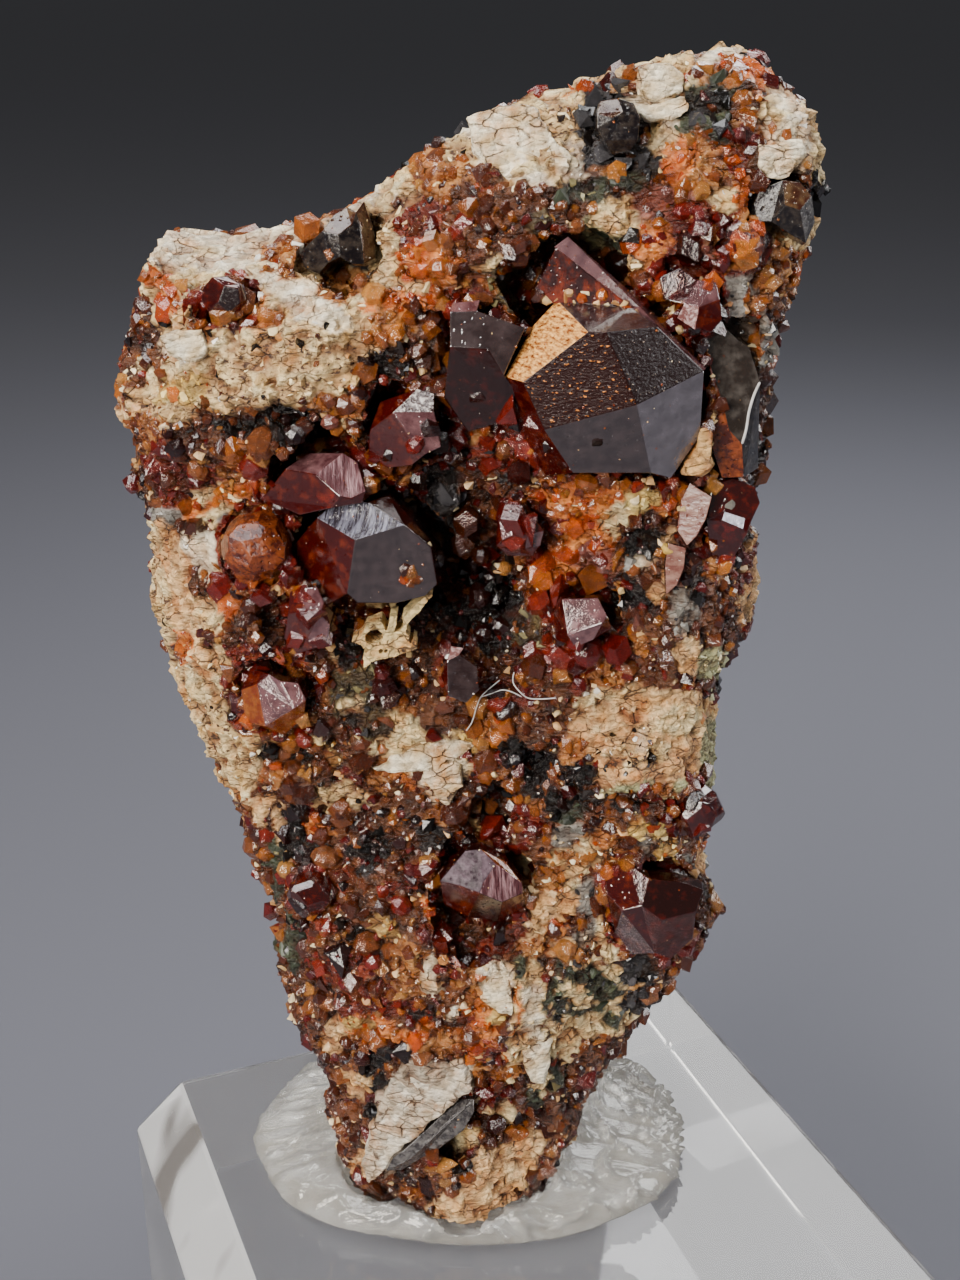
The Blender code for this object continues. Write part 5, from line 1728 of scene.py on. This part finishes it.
def card_finish(code):
    """Card, pressed: matt, with a faint tooth of fibres."""
    tree, place, close = new_finish("pale card floor")
    fibre = add_node(tree, "TexNoise", {"Vector": place, "Scale": 900.0, "Detail": 3.0})
    bump = add_node(tree, "Bump", {"Height": fibre, "Strength": 0.05, "Distance": 0.0001})
    return close({"Base Color": linear(code), "Roughness": 0.7, "Normal": bump})


def softbox(name, place, size, power, target, tint):
    """A square softbox that looks at the target."""
    lamp = bpy.data.lights.new("softbox " + name, "AREA")
    lamp.size = size
    lamp.energy = power
    lamp.color = tint
    light = bpy.data.objects.new("softbox " + name, lamp)
    bpy.context.scene.collection.objects.link(light)
    light.location = place
    light.rotation_euler = (Vector(target) - Vector(place)).to_track_quat("-Z", "Y").to_euler()


def build_stage(settings):
    """The camera, the floor, the dim room and the softboxes."""
    scene = bpy.context.scene
    lens = bpy.data.cameras.new("camera")
    lens.lens = settings.lens
    lens.sensor_width = 36.0
    lens.clip_start = 0.001
    camera = bpy.data.objects.new("camera", lens)
    scene.collection.objects.link(camera)
    camera.location = settings.place
    camera.rotation_euler = (math.radians(90) - settings.down, 0.0, 0.0)
    scene.camera = camera
    mesh = bpy.data.meshes.new("floor")
    corners = ((-1, -1), (1, -1), (1, 1), (-1, 1))
    mesh.from_pydata([(x * FLOOR_REACH, y * FLOOR_REACH, -AIR * MM) for x, y in corners], [], [(0, 1, 2, 3)])
    mesh.materials.append(card_finish(settings.floor))
    floor = bpy.data.objects.new("floor", mesh)
    scene.collection.objects.link(floor)
    world = bpy.data.worlds.new("dim room")
    world.use_nodes = True
    background = world.node_tree.nodes["Background"].inputs
    background["Color"].default_value = linear("#ffffff")
    background["Strength"].default_value = ROOM_LIGHT
    scene.world = world
    for box in SOFTBOXES:
        softbox(*box)


# ---------------------------------------------------------------- settings
class RockSettings(bpy.types.PropertyGroup):
    step: FloatProperty(name="Step", description="Size of the rock's finest faces, in mm", default=0.23)
    keep: FloatProperty(name="Keep", description="Share of the faces that stay", default=0.72)
    # painted shade: the colour that the rock's crevices and hollows darken towards
    painted_shade: StringProperty(name="Painted shade", description="Colour of the crevices' film, in hex", default="#8e6444")
    sink: FloatProperty(
        name="Sink", description="How far the rock lies under the grains' tips, in mm", default=0.18
    )


class GrainSettings(bpy.types.PropertyGroup):
    seed: IntProperty(name="Seed", description="Start of the random draws", default=11)
    density: FloatProperty(name="Density", description="How thickly grains cover the rock", default=1.0)


class CrystalSettings(bpy.types.PropertyGroup):
    out: FloatProperty(name="Out", description="How far faces come out to meet the rock, in mm", default=0.12)
    wear: FloatProperty(name="Wear", description="Width of the worn edges, in mm", default=0.05)


class StageSettings(bpy.types.PropertyGroup):
    place: FloatVectorProperty(
        name="Camera", description="Where the camera stands", subtype="TRANSLATION", unit="LENGTH",
        default=(-0.00305, -0.0746, 0.08302),
    )
    down: FloatProperty(
        name="Looking down", description="How far the camera looks down", subtype="ANGLE",
        default=LOOKING_DOWN,
    )
    lens: FloatProperty(name="Lens", description="Focal length in mm on a 36 mm sensor", default=46.69)
    floor: StringProperty(name="Floor", description="Floor colour, in hex", default="#61626b")


# ---------------------------------------------------------------- operators
class SPECIMEN_OT_stage(bpy.types.Operator):
    """Set up the floor, the softboxes and the camera"""

    bl_idname = "specimen.stage"
    bl_label = "Stage"

    def execute(self, context):
        build_stage(context.scene.specimen_stage)
        return {"FINISHED"}


class SPECIMEN_OT_holder(bpy.types.Operator):
    """Build the acrylic block and the clear tack"""

    bl_idname = "specimen.holder"
    bl_label = "Block and tack"

    def execute(self, context):
        build_block()
        build_tack()
        return {"FINISHED"}


class SPECIMEN_OT_crystals(bpy.types.Operator):
    """Build the large garnets and smoky quartz crystals"""

    bl_idname = "specimen.crystals"
    bl_label = "Large crystals"

    def execute(self, context):
        settings = context.scene.specimen_crystals
        slots = {"garnet": "garnet", "smoky": "smoky_quartz"}
        for name in FACETED:
            kind = name.split("_")[0]
            if kind in slots:
                node = SHARED_NODES.get(name, name)
                build_faceted(name + "_grown", (name,), slots[kind], (node,), settings)
        build_faceted("rosy_shards_grown", ROSY_SHARDS, "garnet", (), settings)
        build_cleaved(settings)
        for name in sorted(frame["nodes"]):
            if name.startswith(("garnet", "smoky")) and name not in FACETED:
                build_crystal(name, settings)
        return {"FINISHED"}


class SPECIMEN_OT_rock(bpy.types.Operator):
    """Build the broken feldspar rock"""

    bl_idname = "specimen.rock"
    bl_label = "Rock"

    def execute(self, context):
        build_rock(context.scene.specimen_rock)
        return {"FINISHED"}


class SPECIMEN_OT_grains(bpy.types.Operator):
    """Cover the rock with its druse of small crystals, a flake and lint"""

    bl_idname = "specimen.grains"
    bl_label = "Druse"

    def execute(self, context):
        rock = bpy.data.objects["broken_rock"].data
        build_grains(rock, context.scene.specimen_grains)
        build_flake()
        build_lint(rock)
        return {"FINISHED"}


class SPECIMEN_PT_panel(bpy.types.Panel):
    """The steps that build the specimen"""

    bl_label = "Garnet in matrix"
    bl_space_type = "VIEW_3D"
    bl_region_type = "UI"
    bl_category = "Specimen"

    def draw(self, context):
        for step in STEPS:
            self.layout.operator("specimen." + step)


STEPS = ("stage", "holder", "crystals", "rock", "grains")
SETTINGS = (
    ("specimen_rock", RockSettings), ("specimen_grains", GrainSettings),
    ("specimen_crystals", CrystalSettings), ("specimen_stage", StageSettings),
)
CLASSES = (
    *(group for _, group in SETTINGS),
    SPECIMEN_OT_stage, SPECIMEN_OT_holder, SPECIMEN_OT_crystals, SPECIMEN_OT_rock, SPECIMEN_OT_grains,
    SPECIMEN_PT_panel,
)


def register():
    for cls in CLASSES:
        bpy.utils.register_class(cls)
    for name, group in SETTINGS:
        setattr(bpy.types.Scene, name, PointerProperty(type=group))


def unregister():
    for name, _ in SETTINGS:
        delattr(bpy.types.Scene, name)
    for cls in reversed(CLASSES):
        bpy.utils.unregister_class(cls)


def main():
    noise.seed_set(NOISE_SEED)  # without it the clock seeds the vector noise
    register()
    for step in STEPS:
        getattr(bpy.ops.specimen, step)()


if __name__ == "__main__":
    main()
